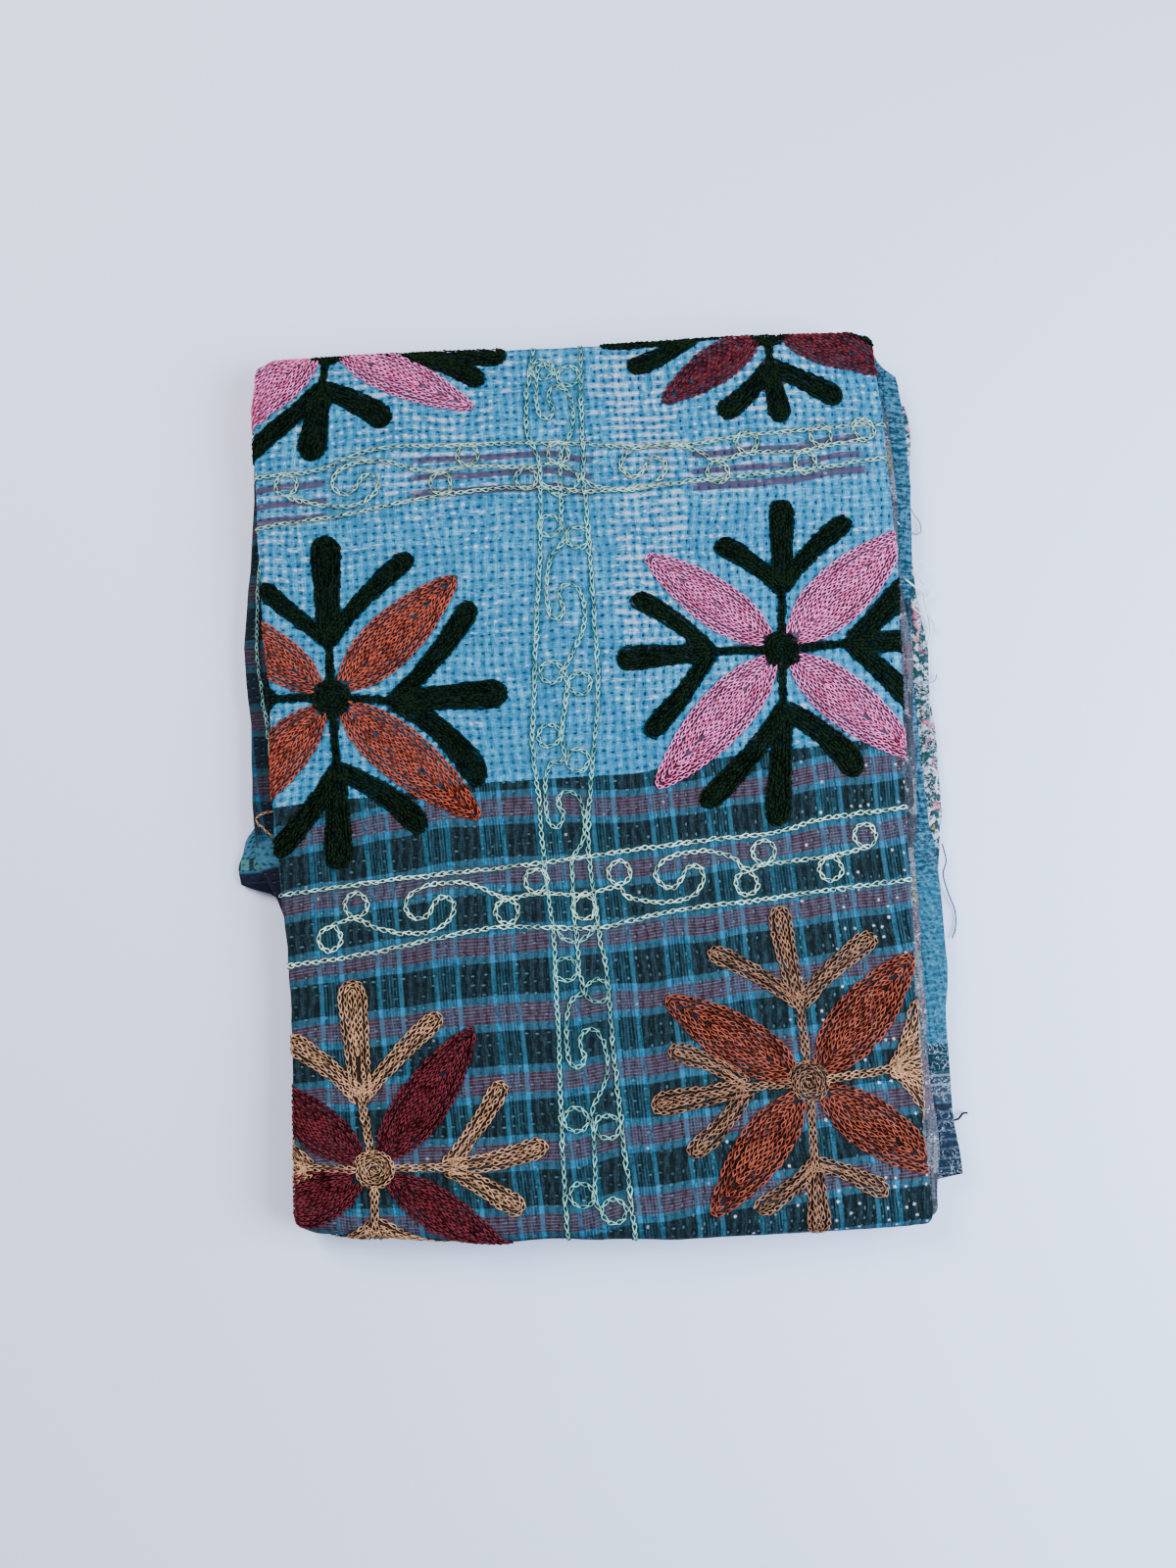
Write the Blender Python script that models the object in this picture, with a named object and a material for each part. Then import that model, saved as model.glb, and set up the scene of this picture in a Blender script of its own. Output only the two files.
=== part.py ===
"""A kantha quilt, folded in three both ways, so that nine layers of stitched cotton lie in a low stack.

Metres, +Z up. The origin is under the middle of the stack, on the surface that it lies on.

The cloth is first folded in three across X. One side is tucked in at the right fold, the other passes
under it from the left fold, and its hem shows at the right. That gives a strip of three layers. The strip
is then folded in three along Y: its middle panel lies on top, the end past the top fold lies in the middle
of the stack, and the end past the bottom fold lies lowest, on the surface.
"""

import math

import bmesh
import bpy

MM = 0.001

# The cloth and the air between its layers
LAYER = 2.6 * MM
LAYER_GAP = 1.0 * MM
STRIP_GAP = 1.2 * MM
PITCH = LAYER + LAYER_GAP
STRIP = 2 * PITCH + LAYER
HEIGHT = 3 * STRIP + 2 * STRIP_GAP

# The folds. A radius is that of the cloth's outer face.
LEFT_FOLD_RADIUS = STRIP / 2
RIGHT_FOLD_RADIUS = (PITCH + LAYER) / 2
TOP_FOLD_RADIUS = STRIP + STRIP_GAP / 2
BOTTOM_FOLD_RADIUS = HEIGHT / 2
TOP_EDGE = 382 * MM
BOTTOM_EDGE = -382 * MM
TUCKED_HEM = 26 * MM  # from the left fold to the hem that is tucked in
MIDDLE_END = -348 * MM
LOWEST_END = 330 * MM

# How finely the shape is cut
COLUMNS = [x * MM for x in (-180, -90, 0, 90, 180)]
ROWS = [
    y * MM
    for y in (
        *(350, 310, 270, 225, 180, 135, 90, 50, 10, -30, -50, -63),
        *(-76, -88, -102, -125, -160, -205, -250, -295, -330),
    )
]
WIDE_FOLD_STEPS, NARROW_FOLD_STEPS, INNER_FOLD_STEPS = 6, 4, 3
CROSS_FOLD_STEPS = 8

# Where the folds and the hem of each panel lie, in millimetres
TOP_PANEL = [
    # y, left fold, right fold, hem
    (366, -279, 267, 264),
    (340, -282, 269, 268),
    (300, -281, 271, 276),
    (230, -279, 271, 278),
    (160, -276, 271, 274),
    (90, -270, 267, 278),
    (20, -269, 263, 273),
    (-40, -267, 259, 270),
    (-90, -262, 257, 263),
    (-140, -257, 255, 262),
    (-200, -254, 252, 260),
    (-260, -253, 250, 257),
    (-320, -253, 247, 260),
    (-364, -253, 249, 254),
]
MIDDLE_PANEL = [
    (372, -279, 262, 270),
    (356, -280, 262, 288),
    (345, -281, 262, 291),
    (300, -284, 262, 293),
    (250, -285, 261, 293),
    (200, -288, 260, 290),
    (160, -292, 259, 286),
    (120, -295, 258, 282),
    (90, -293, 257, 279),
    (50, -289, 255, 278),
    (0, -289, 253, 278),
    (-60, -286, 250, 280),
    (-85, -276, 249, 284),
    (-105, -262, 249, 284),
    (-175, -250, 246, 284),
    (-230, -246, 244, 278),
    (-290, -244, 242, 276),
    (-348, -243, 241, 279),
]
LOWEST_PANEL = [
    (330, -272, 262, 298),
    (310, -273, 262, 301),
    (250, -274, 261, 296),
    (185, -276, 260, 291),
    (150, -277, 259, 291),
    (86, -278, 257, 297),
    (60, -279, 255, 294),
    (20, -280, 253, 296),
    (-20, -283, 252, 296),
    (-50, -299, 251, 295),
    (-68, -304, 250, 292),
    (-80, -302, 250, 290),
    (-94, -270, 250, 288),
    (-106, -257, 249, 286),
    (-150, -250, 247, 276),
    (-200, -247, 245, 262),
    (-260, -245, 243, 252),
    (-364, -250, 244, 248),
]

# How far the top and bottom folds stand in from their edges, in millimetres
TOP_FOLD_LINE = [
    # x, inset
    (-290, 14),
    (-277, 6),
    (-262, 1),
    (-120, 0),
    (40, 1),
    (150, 0),
    (245, 1),
    (266, 6),
    (290, 14),
]
BOTTOM_FOLD_LINE = [
    (-290, 34),
    (-258, 26),
    (-234, 19),
    (-194, 14),
    (-86, 5),
    (-55, 6),
    (-8, 3),
    (55, 0),
    (195, 0),
    (247, 1),
    (290, 5),
]
FOLD_LINE_REACH = 190 * MM  # how far in from its edge a fold line's bends fade out

# Swells and hollows of the stack: where, how wide, and how much of the height they add, in millimetres
SWELLS = [
    # x, y, reach, share of the height
    (-255, -330, 95, 0.10),
    (60, -350, 120, 0.13),
    (250, -300, 90, 0.05),
    (-200, 345, 110, 0.09),
    (120, 350, 130, 0.12),
    (-20, 330, 90, -0.05),
    (-120, 60, 120, 0.07),
    (150, 60, 110, 0.05),
    (20, -60, 110, -0.06),
    (-100, -190, 100, 0.05),
    (170, -170, 100, -0.04),
]
DROOP = 0.22  # share of its height that the cloth loses past the edge of the top panel
DROOP_REACH = 34 * MM

CLOTH_COLOUR = (0.13, 0.24, 0.30, 1.0)
CLOTH_ROUGHNESS = 0.9


def smooth_step(t):
    """0 to 1 with a level start and end."""
    t = min(max(t, 0.0), 1.0)
    return t * t * (3.0 - 2.0 * t)


def read_table(table, key, column):
    """Reads a column, in metres, at a place along the table's first column, easing between its rows."""
    rows = sorted(table)
    place = key / MM
    if place <= rows[0][0]:
        return rows[0][column] * MM
    for low, high in zip(rows, rows[1:]):
        if place <= high[0]:
            ease = smooth_step((place - low[0]) / (high[0] - low[0]))
            return (low[column] + (high[column] - low[column]) * ease) * MM
    return rows[-1][column] * MM


def panel_profile(table, y):
    """The left fold, right fold and hem of a panel at y."""
    return tuple(read_table(table, y, column) for column in (1, 2, 3))


def mixed_profile(first, second, share):
    """A profile on the way around a fold, between those of the panels that it joins."""
    ease = smooth_step(share)
    return tuple(a + (b - a) * ease for a, b in zip(first, second))


def fold_arc(centre_x, centre_depth, radius, side, steps, outwards):
    """Points inside a fold's half turn. side is -1 on the left and 1 on the right."""
    points = []
    for step in range(1, steps):
        turn = math.pi * step / steps
        depth = -math.cos(turn) if outwards else math.cos(turn)
        points.append((centre_x + side * radius * math.sin(turn), centre_depth + radius * depth))
    return points


def run(start, end, depth):
    """A layer's face from one x to another, with a point on each column between them."""
    low, high = min(start, end), max(start, end)
    between = [x for x in COLUMNS if low < x < high]
    if start > end:
        between.reverse()
    return [(x, depth) for x in [start, *between, end]]


def strip_section(left, right, hem):
    """The closed outline of the strip's three layers, as (x, depth below its outer face)."""
    left_centre = left + LEFT_FOLD_RADIUS
    right_centre = right - RIGHT_FOLD_RADIUS
    tucked_hem = left + TUCKED_HEM
    under_hem = (hem + LAYER / 3, 2 * PITCH + LAYER / 2)
    return [
        under_hem,
        *run(hem, right_centre, STRIP)[:-1],
        *run(right_centre, left_centre, STRIP),
        *fold_arc(left_centre, LEFT_FOLD_RADIUS, LEFT_FOLD_RADIUS, -1, WIDE_FOLD_STEPS, False),
        *run(left_centre, right_centre, 0.0),
        *fold_arc(right_centre, RIGHT_FOLD_RADIUS, RIGHT_FOLD_RADIUS, 1, NARROW_FOLD_STEPS, True),
        *run(right_centre, tucked_hem, PITCH + LAYER),
        *run(tucked_hem, right_centre, PITCH),
        *fold_arc(right_centre, RIGHT_FOLD_RADIUS, RIGHT_FOLD_RADIUS - LAYER, 1, INNER_FOLD_STEPS, False),
        *run(right_centre, left_centre, LAYER),
        *fold_arc(left_centre, LEFT_FOLD_RADIUS, LEFT_FOLD_RADIUS - LAYER, -1, NARROW_FOLD_STEPS, True),
        *run(left_centre, right_centre, 2 * PITCH)[:-1],
        *run(right_centre, hem, 2 * PITCH),
    ]


def stations():
    """Each place where the strip's section stands: y and z of its outer face, the way in, its profile."""
    top_y = TOP_EDGE - TOP_FOLD_RADIUS
    top_z = HEIGHT - TOP_FOLD_RADIUS
    bottom_y = BOTTOM_EDGE + BOTTOM_FOLD_RADIUS
    bottom_z = HEIGHT - BOTTOM_FOLD_RADIUS
    middle_z = STRIP + STRIP_GAP

    middle_rows = [MIDDLE_END, *[y for y in reversed(ROWS) if MIDDLE_END < y < top_y]]
    top_rows = [y for y in ROWS if bottom_y < y < top_y]
    lowest_rows = [*[y for y in reversed(ROWS) if bottom_y < y < LOWEST_END], LOWEST_END]
    top_profile = panel_profile(TOP_PANEL, top_y)
    bottom_profile = panel_profile(TOP_PANEL, bottom_y)
    middle_profile = panel_profile(MIDDLE_PANEL, top_y)
    lowest_profile = panel_profile(LOWEST_PANEL, bottom_y)

    path = [(y, middle_z, (0.0, 1.0), panel_profile(MIDDLE_PANEL, y)) for y in middle_rows]
    for step in range(CROSS_FOLD_STEPS + 1):
        share = step / CROSS_FOLD_STEPS
        out_y, out_z = math.sin(math.pi * share), -math.cos(math.pi * share)
        place = (top_y + TOP_FOLD_RADIUS * out_y, top_z + TOP_FOLD_RADIUS * out_z)
        path.append((*place, (-out_y, -out_z), mixed_profile(middle_profile, top_profile, share)))
    path += [(y, HEIGHT, (0.0, -1.0), panel_profile(TOP_PANEL, y)) for y in top_rows]
    for step in range(CROSS_FOLD_STEPS + 1):
        share = step / CROSS_FOLD_STEPS
        out_y, out_z = -math.sin(math.pi * share), math.cos(math.pi * share)
        place = (bottom_y + BOTTOM_FOLD_RADIUS * out_y, bottom_z + BOTTOM_FOLD_RADIUS * out_z)
        path.append((*place, (-out_y, -out_z), mixed_profile(bottom_profile, lowest_profile, share)))
    path += [(y, 0.0, (0.0, 1.0), panel_profile(LOWEST_PANEL, y)) for y in lowest_rows]
    return path


def bent_to_fold_lines(x, y):
    """Moves y so that the top and bottom folds follow their uneven lines."""
    near_top = smooth_step(1.0 - (TOP_EDGE - y) / FOLD_LINE_REACH)
    near_bottom = smooth_step(1.0 - (y - BOTTOM_EDGE) / FOLD_LINE_REACH)
    y -= near_top * read_table(TOP_FOLD_LINE, x, 1)
    return y + near_bottom * read_table(BOTTOM_FOLD_LINE, x, 1)


def swell(x, y):
    """How much the stack's height grows or shrinks at a place. The bottom stays level."""
    share = 1.0
    for swell_x, swell_y, reach, lift in SWELLS:
        distance = math.hypot(x / MM - swell_x, y / MM - swell_y)
        share += lift * math.exp(-0.5 * (distance / reach) ** 2)
    left, right, _ = panel_profile(TOP_PANEL, y)
    past_edge = max(x - right, left - x, 0.0)
    return share * (1.0 - DROOP * smooth_step(past_edge / DROOP_REACH))


def quilt_mesh():
    """Extrudes the strip's section from station to station, from the middle panel's end to the lowest's."""
    sections = []
    for y, z, inward, profile in stations():
        section = []
        for x, depth in strip_section(*profile):
            point_y = y + depth * inward[0]
            point_z = (z + depth * inward[1]) * swell(x, point_y)
            section.append((x, bent_to_fold_lines(x, point_y), point_z))
        sections.append(section)

    shape = bmesh.new()
    end_face = shape.faces.new([shape.verts.new(point) for point in sections[0]])
    for section in sections[1:]:
        grown = bmesh.ops.extrude_face_region(shape, geom=[end_face, *end_face.edges, *end_face.verts])
        end_face = next(item for item in grown["geom"] if isinstance(item, bmesh.types.BMFace))
        for vertex, point in zip(end_face.verts, section):
            vertex.co = point
    return shape


def cloth_material():
    material = bpy.data.materials.new("stitched_cotton")
    material.use_nodes = True
    shader = material.node_tree.nodes["Principled BSDF"]
    shader.inputs["Base Color"].default_value = CLOTH_COLOUR
    shader.inputs["Roughness"].default_value = CLOTH_ROUGHNESS
    shader.inputs["Metallic"].default_value = 0.0
    return material


def build_quilt():
    shape = quilt_mesh()
    bmesh.ops.recalc_face_normals(shape, faces=shape.faces)
    mesh = bpy.data.meshes.new("quilt")
    shape.to_mesh(mesh)
    shape.free()
    mesh.shade_smooth()
    mesh.materials.append(cloth_material())
    quilt = bpy.data.objects.new("quilt", mesh)
    bpy.context.scene.collection.objects.link(quilt)
    return quilt


def clear_scene():
    for thing in list(bpy.data.objects):
        bpy.data.objects.remove(thing, do_unlink=True)


clear_scene()
build_quilt()
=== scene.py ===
"""Looks of the folded kantha quilt: its stitched patchwork cloth, chain-stitch embroidery and loose threads.

The cloth is cut flat, marked with its patches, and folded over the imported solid. Flat places are given as
(a, b): a runs across the cloth and b along it, and both equal X and Y on the panel that lies on top.
"""

import math
from functools import reduce
from typing import NamedTuple

import bpy
import numpy as np
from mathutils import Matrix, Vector


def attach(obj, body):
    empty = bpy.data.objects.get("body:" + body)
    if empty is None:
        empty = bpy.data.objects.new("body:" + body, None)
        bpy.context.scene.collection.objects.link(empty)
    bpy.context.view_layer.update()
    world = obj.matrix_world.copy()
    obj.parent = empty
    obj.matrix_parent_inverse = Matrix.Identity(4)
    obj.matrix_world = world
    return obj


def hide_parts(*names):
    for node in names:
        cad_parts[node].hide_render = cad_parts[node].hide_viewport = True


bl_info = {
    "name": "Folded kantha quilt",
    "version": (1, 0, 0),
    "blender": (4, 5, 0),
    "location": "3D View > Sidebar > Quilt",
    "description": "Folds a stitched patchwork cloth and works its chain-stitch flowers and borders",
    "category": "Add Mesh",
}

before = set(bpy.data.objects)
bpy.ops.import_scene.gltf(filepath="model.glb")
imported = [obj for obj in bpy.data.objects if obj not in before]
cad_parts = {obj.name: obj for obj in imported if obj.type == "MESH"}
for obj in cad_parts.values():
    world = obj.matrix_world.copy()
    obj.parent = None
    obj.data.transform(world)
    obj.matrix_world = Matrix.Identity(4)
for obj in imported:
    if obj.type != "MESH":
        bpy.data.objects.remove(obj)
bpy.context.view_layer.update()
MM = 0.001

# The way the cloth lies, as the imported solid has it
LAYER = 2.6 * MM
LAYER_GAP = 1.0 * MM
STRIP_GAP = 1.2 * MM
PITCH = LAYER + LAYER_GAP
STRIP = 2 * PITCH + LAYER
HEIGHT = 3 * STRIP + 2 * STRIP_GAP
LEFT_RADIUS = STRIP / 2
RIGHT_RADIUS = (PITCH + LAYER) / 2
TOP_RADIUS = STRIP + STRIP_GAP / 2
BOTTOM_RADIUS = HEIGHT / 2
TOP_EDGE = 382 * MM
BOTTOM_EDGE = -382 * MM
TOP_Y = TOP_EDGE - TOP_RADIUS
BOTTOM_Y = BOTTOM_EDGE + BOTTOM_RADIUS
TUCKED_HEM = 26 * MM
MIDDLE_END = -348 * MM
LOWEST_END = 330 * MM
ROLLED_CORNER = (-112 * MM, -28 * MM)  # along the lowest panel
CORNER_LENGTH = 30 * MM
CORNER_CELL = 4.5 * MM
BOTTOM_FOLD_CELL, TOP_FOLD_CELL = 4.0 * MM, 3.4 * MM
MIDDLE_LENGTH = TOP_Y - MIDDLE_END
LOWEST_LENGTH = LOWEST_END - BOTTOM_Y
LEFT_ARC, RIGHT_ARC = math.pi * LEFT_RADIUS, math.pi * RIGHT_RADIUS
TOP_ARC, BOTTOM_ARC = math.pi * TOP_RADIUS, math.pi * BOTTOM_RADIUS
HEM_DEPTH = 60 * MM  # how far in from the under panels' hems their other cottons reach
HEM_ZONE = 34 * MM  # the finer cells by the free hem
TOP_WIDTH = 520 * MM  # about what lies flat on top, which sets the count of its columns

STEM_HALF = 3.4 * MM  # half the width of a leaf's stem
SHOWN = -0.6  # stitches are laid where faces_out is above this, so none hide inside the stack
SMALL_SIZE = 0.8  # of the chains past the left fold, as a share of the others
CLOSE_ROWS = 0.92  # the pitch of a stem's and a disc's rows, as a share of a petal's
TUBE_SIDES = 5
NOISE_CELLS = 101
WANDER = {
    # how far each mark strays, over lumps of how many millimetres, and the noise's seed
    "plaid_rise": (1.6, 45, 11), "plaid_across": (1.5, 60, 12), "washed_across": (3.0, 70, 13),
    "washed_above": (0.8, 30, 14), "stitch_u": (0.45, 60, 15), "small_u": (0.16, 18, 19),
    "stitch_v": (0.5, 80, 16), "small_v": (0.20, 22, 17), "turned": (0.6, 90, 18),
    "pucker": (1.0, 14, 21), "small_pucker": (0.7, 7, 22), "hem": (0.7, 14, 23),
}
# the cloth's mark beside the border rows is painted shade
MOST_BESIDE = 20.0  # millimetres from the border rows, past which the cloth's mark stays the same
# Where the cloth's sides and rim lie up the baking map: start and height
RIGHT_SIDE, WRONG_SIDE, RIM = (0.002, 0.77), (0.802, 0.196), (0.778, 0.018)

# Where the folds and the hem of each panel lie, in millimetres
TOP_PANEL = [
    # y, left fold, right fold, hem
    (366, -279, 267, 264), (340, -282, 269, 268), (300, -281, 271, 276), (230, -279, 271, 278),
    (160, -276, 271, 274), (90, -270, 267, 278), (20, -269, 263, 273), (-40, -267, 259, 270), (-90, -262, 257, 263),
    (-140, -257, 255, 262), (-200, -254, 252, 260), (-260, -253, 250, 257), (-320, -253, 247, 260),
    (-364, -253, 249, 254),
]
MIDDLE_PANEL = [
    (372, -279, 262, 270), (361, -280, 262, 274), (355, -280, 262, 289), (345, -281, 262, 291),
    (300, -284, 262, 293), (250, -285, 261, 293), (200, -288, 260, 290), (160, -292, 259, 286),
    (120, -295, 258, 282), (90, -293, 257, 279), (50, -289, 255, 278), (0, -289, 253, 278), (-60, -286, 250, 280),
    (-85, -276, 249, 284), (-105, -262, 249, 284), (-175, -250, 246, 284), (-230, -246, 244, 278),
    (-290, -244, 242, 276), (-348, -243, 241, 279),
]
LOWEST_PANEL = [
    (330, -272, 262, 298), (310, -273, 262, 301), (250, -274, 261, 296), (185, -276, 260, 291),
    (150, -277, 259, 291), (86, -278, 257, 297), (60, -279, 255, 294), (20, -280, 253, 296), (-20, -283, 252, 296),
    (-50, -299, 251, 295), (-68, -304, 250, 292), (-80, -302, 250, 290), (-94, -270, 250, 288),
    (-106, -257, 249, 286), (-150, -250, 247, 276), (-200, -247, 245, 262), (-260, -245, 243, 252),
    (-364, -250, 244, 248),
]
TOP_FOLD_LINE = [
    # x, inset
    (-290, 14), (-277, 6), (-262, 1), (-120, 0), (40, 1), (150, 0), (245, 1), (266, 6), (290, 14),
]
BOTTOM_FOLD_LINE = [
    (-290, 34), (-258, 26), (-234, 19), (-194, 14), (-86, 5), (-55, 6), (-8, 3), (55, 0), (195, 0), (247, 1),
    (290, 5),
]
FOLD_LINE_REACH = 190 * MM
SWELLS = [
    # x, y, reach, share of the height
    (-255, -330, 95, 0.10), (60, -350, 120, 0.13), (250, -300, 90, 0.05), (-200, 345, 110, 0.09),
    (120, 350, 130, 0.12), (-20, 330, 90, -0.05), (-120, 60, 120, 0.07), (150, 60, 110, 0.05),
    (20, -60, 110, -0.06), (-100, -190, 100, 0.05), (170, -170, 100, -0.04),
]
DROOP = 0.22
DROOP_REACH = 34 * MM

# Soft ridges and troughs of the top of the stack, in millimetres
CREASES = [
    # x, y at one end, x, y at the other, reach, height
    (-270, 205, -120, 232, 12, 1.0), (-120, 232, -10, 228, 10, -0.8), (-250, 150, -150, 178, 8, -0.8),
    (90, 210, 262, 226, 11, 0.9), (180, 190, 262, 200, 8, -0.8), (-262, -10, -190, -22, 9, 1.0),
    (20, -20, 160, 4, 8, 1.1), (-60, -25, 20, -18, 8, 0.8), (-255, -175, -200, -168, 8, -0.9),
    (-250, -215, -130, -196, 9, 0.8), (190, -205, 252, -190, 8, -0.8), (205, -120, 255, -112, 9, 0.9),
    (-60, 350, -60, 120, 10, 0.5), (25, 350, 25, 130, 9, 0.5), (60, -335, 200, -342, 10, 0.8),
    (-230, 340, -120, 352, 9, 0.8), (100, 345, 240, 350, 9, 0.7),
]

# Borders of the embroidery, in millimetres. The last two run along b, so their rows are (b, a).
UPPER_BORDER_TOP = [
    (-300, 270), (-245, 271), (-220, 274), (-185, 287), (-160, 291), (-117, 290), (-23, 288), (45, 281), (96, 279),
    (148, 285), (208, 288), (285, 294),
]
UPPER_BORDER_FOOT = [
    (-300, 220), (-246, 226), (-212, 229), (-161, 238), (-118, 244), (-76, 248), (-25, 247), (9, 241), (43, 242),
    (94, 245), (205, 252), (285, 263),
]
LOWER_BORDER_TOP = [
    (-300, -98), (-225, -91), (-169, -86), (-121, -83), (-64, -80), (-8, -75), (74, -68), (122, -65), (150, -63),
    (190, -54), (285, -46),
]
LOWER_BORDER_FOOT = [
    (-300, -155), (-218, -148), (-171, -142), (-123, -134), (-75, -129), (-11, -134), (21, -130), (70, -122),
    (119, -119), (175, -114), (285, -106),
]
LONG_BORDER_LEFT = [
    (420, -33), (372, -33), (340, -40), (300, -42), (287, -37), (262, -32), (188, -35), (138, -40), (63, -46),
    (18, -49), (-19, -46), (-53, -45), (-98, -43), (-142, -39), (-221, -39), (-312, -40), (-430, -38),
]
LONG_BORDER_RIGHT = [
    (420, 11), (371, 9), (261, 6), (154, 8), (68, 8), (1, 0), (-56, -7), (-128, -3), (-176, 3), (-223, 4),
    (-299, 8), (-430, 17),
]
UPPER_VINE = {
    # places along the border of the rings on its high and low sides, and of the scrolls
    "high": (-252, -94, -15, 149, 214, 252),
    "low": (-118, -44, 122, 198),
    "scroll": (-192, 58),
}
LOWER_VINE = {
    "high": (-199, -51, 17, 137, 222),
    "low": (-221, -76, -13, 121, 191),
    "scroll": (-139, 67),
}
LONG_VINE = {
    "high": (357, 212, 82, 28, -166, -286, -345),
    "low": (350, 200, 71, 6, -184, -292, -357),
    "scroll": (322, 140, -38, -233),
}
SCROLL = [
    # along and across the border, from the scroll's middle
    (-46, -14), (-22, -20), (0, -20), (15, -12), (20, 1), (11, 9), (4, 4), (0, -5), (-8, -10), (-17, -6), (-20, 3),
    (-14, 13), (4, 19), (26, 19), (46, 12),
]
LONG_SCROLL = [
    (-42, 4), (-30, 11), (-16, 16), (2, 16), (15, 11), (19, 3), (15, -4), (6, -5), (-3, 0), (-9, -3), (-13, -9),
    (-6, -14), (15, -15), (42, -11),
]

LONG_BRACKETS = [
    # short chains that tie the border's two lines together: places a, b
    ((-31, 252), (-24, 243), (-14, 239), (-4, 244), (4, 258)),
    ((-39, -128), (-33, -139), (-22, -145), (-10, -139), (-3, -130)),
]

UNDER_CHAINS = [
    # yarn, then x, y of places on the cloth that shows past the left fold
    ("aqua", (-268, 262), (-272, 236), (-276, 209), (-280, 178), (-281, 151), (-282, 120), (-280, 98), (-277, 72),
     (-273, 48), (-270, 22), (-265, 3)),
    ("aqua", (-262, 165), (-268, 160), (-273, 153), (-272, 143), (-262, 136)),
    ("aqua", (-262, 104), (-266, 99), (-266, 86), (-261, 74)),
    ("aqua", (-262, 52), (-265, 45), (-264, 36), (-258, 33)),
    ("ochre", (-288, -27), (-279, -24), (-264, -22)),
    ("ochre", (-287, -29), (-280, -34), (-270, -44)),
]

SEEN_THROUGH = 5.0  # millimetres: past this depth the cloth between a petal's stitches gets no darker
CHAINS = {
    # millimetres: from stitch to stitch, from row to row, a stitch's length, width and yarn, and its unevenness
    "orange": (6.4, 3.8, 7.1, 2.95, 1.05, 0.20),
    "rust": (6.8, 4.0, 7.4, 3.10, 1.05, 0.22),
    "pink": (6.4, 3.7, 7.0, 2.90, 1.05, 0.18),
    "dark_red": (5.4, 3.3, 6.1, 2.45, 1.05, 0.20),
    "green": (4.2, 2.5, 5.5, 1.7, 1.20, 0.42),
    "tan": (6.6, 3.9, 7.3, 3.05, 1.05, 0.26), "brown": (6.6, 3.9, 7.3, 3.05, 1.05, 0.26),
    "sage": (7.0, 3.3, 8.6, 3.4, 1.10, 0.28),
    "moss": (7.0, 3.3, 8.6, 3.4, 1.05, 0.28),
    "aqua": (7.0, 3.3, 8.6, 3.4, 1.10, 0.28),
    "ochre": (5.6, 3.3, 7.2, 2.0, 0.80, 0.20),
}

LOOSE_THREADS = [
    # colour, thickness, then x, y, z in millimetres
    ("pale", 1.4, (279, 152, 22), (288, 146, 18), (295, 144, 13), (298, 141, 9), (300, 143, 7), (303, 142, 6)),
    ("pale", 1.4, (298, 142, 7), (300, 128, 5), (302, 112, 4), (298, 96, 3), (295, 84, 4)),
    ("pale", 1.2, (299, 143, 9), (301, 146, 8), (303, 144, 8), (301, 140, 8), (299, 142, 8), (304, 146, 7)),
    ("grey", 1.0, (292, 222, 12), (297, 216, 7), (302, 210, 4), (303, 202, 3), (299, 199, 3), (293, 200, 6)),
    ("blue", 1.2, (291, -78, 12), (294, -92, 8), (291, -103, 6), (294, -118, 4), (299, -134, 2), (298, -148, 2),
     (294, -157, 3)),
    ("black", 1.8, (279, -304, 5), (284, -303, 4), (288, -299, 4), (292, -299, 3)),
    ("lilac", 1.2, (286, 62, 14), (294, 62, 9), (301, 65, 5), (304, 71, 3)),
    ("pale", 1.0, (276, 330, 21), (284, 322, 17), (287, 312, 17), (282, 300, 18), (286, 290, 18)),
    ("pale", 1.2, (281, 174, 20), (289, 168, 17), (296, 170, 14), (298, 163, 12), (292, 158, 13), (299, 150, 10)),
    ("pale", 1.1, (283, 128, 20), (291, 122, 16), (297, 124, 12), (304, 118, 6), (306, 109, 4)),
    ("lilac", 1.2, (284, 40, 20), (291, 34, 15), (289, 22, 14), (294, 14, 11), (291, 4, 12)),
    ("pale", 1.1, (284, -12, 18), (292, -18, 14), (290, -30, 13), (296, -38, 10)),
    ("pale", 1.0, (277, 205, 22), (284, 196, 17), (288, 188, 16), (284, 180, 16), (287, 170, 15)),
]

def way_of(direction):
    """A step of length one towards a direction in degrees."""
    return np.array([math.cos(math.radians(direction)), math.sin(math.radians(direction))])


class Flower(NamedTuple):
    """Petals are (direction, length, width) and leaves (direction, stem, fingers, yarn where it differs).

    A finger is (direction, length, width, bow of its mid-line to the left).
    """

    middle: tuple
    petal_yarn: str
    leaf_yarn: str
    petals: list
    leaves: list

    def each_leaf(self):
        for direction, stem, fingers, *other in self.leaves:
            yield direction, stem * MM, fingers, other[0] if other else self.leaf_yarn


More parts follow.
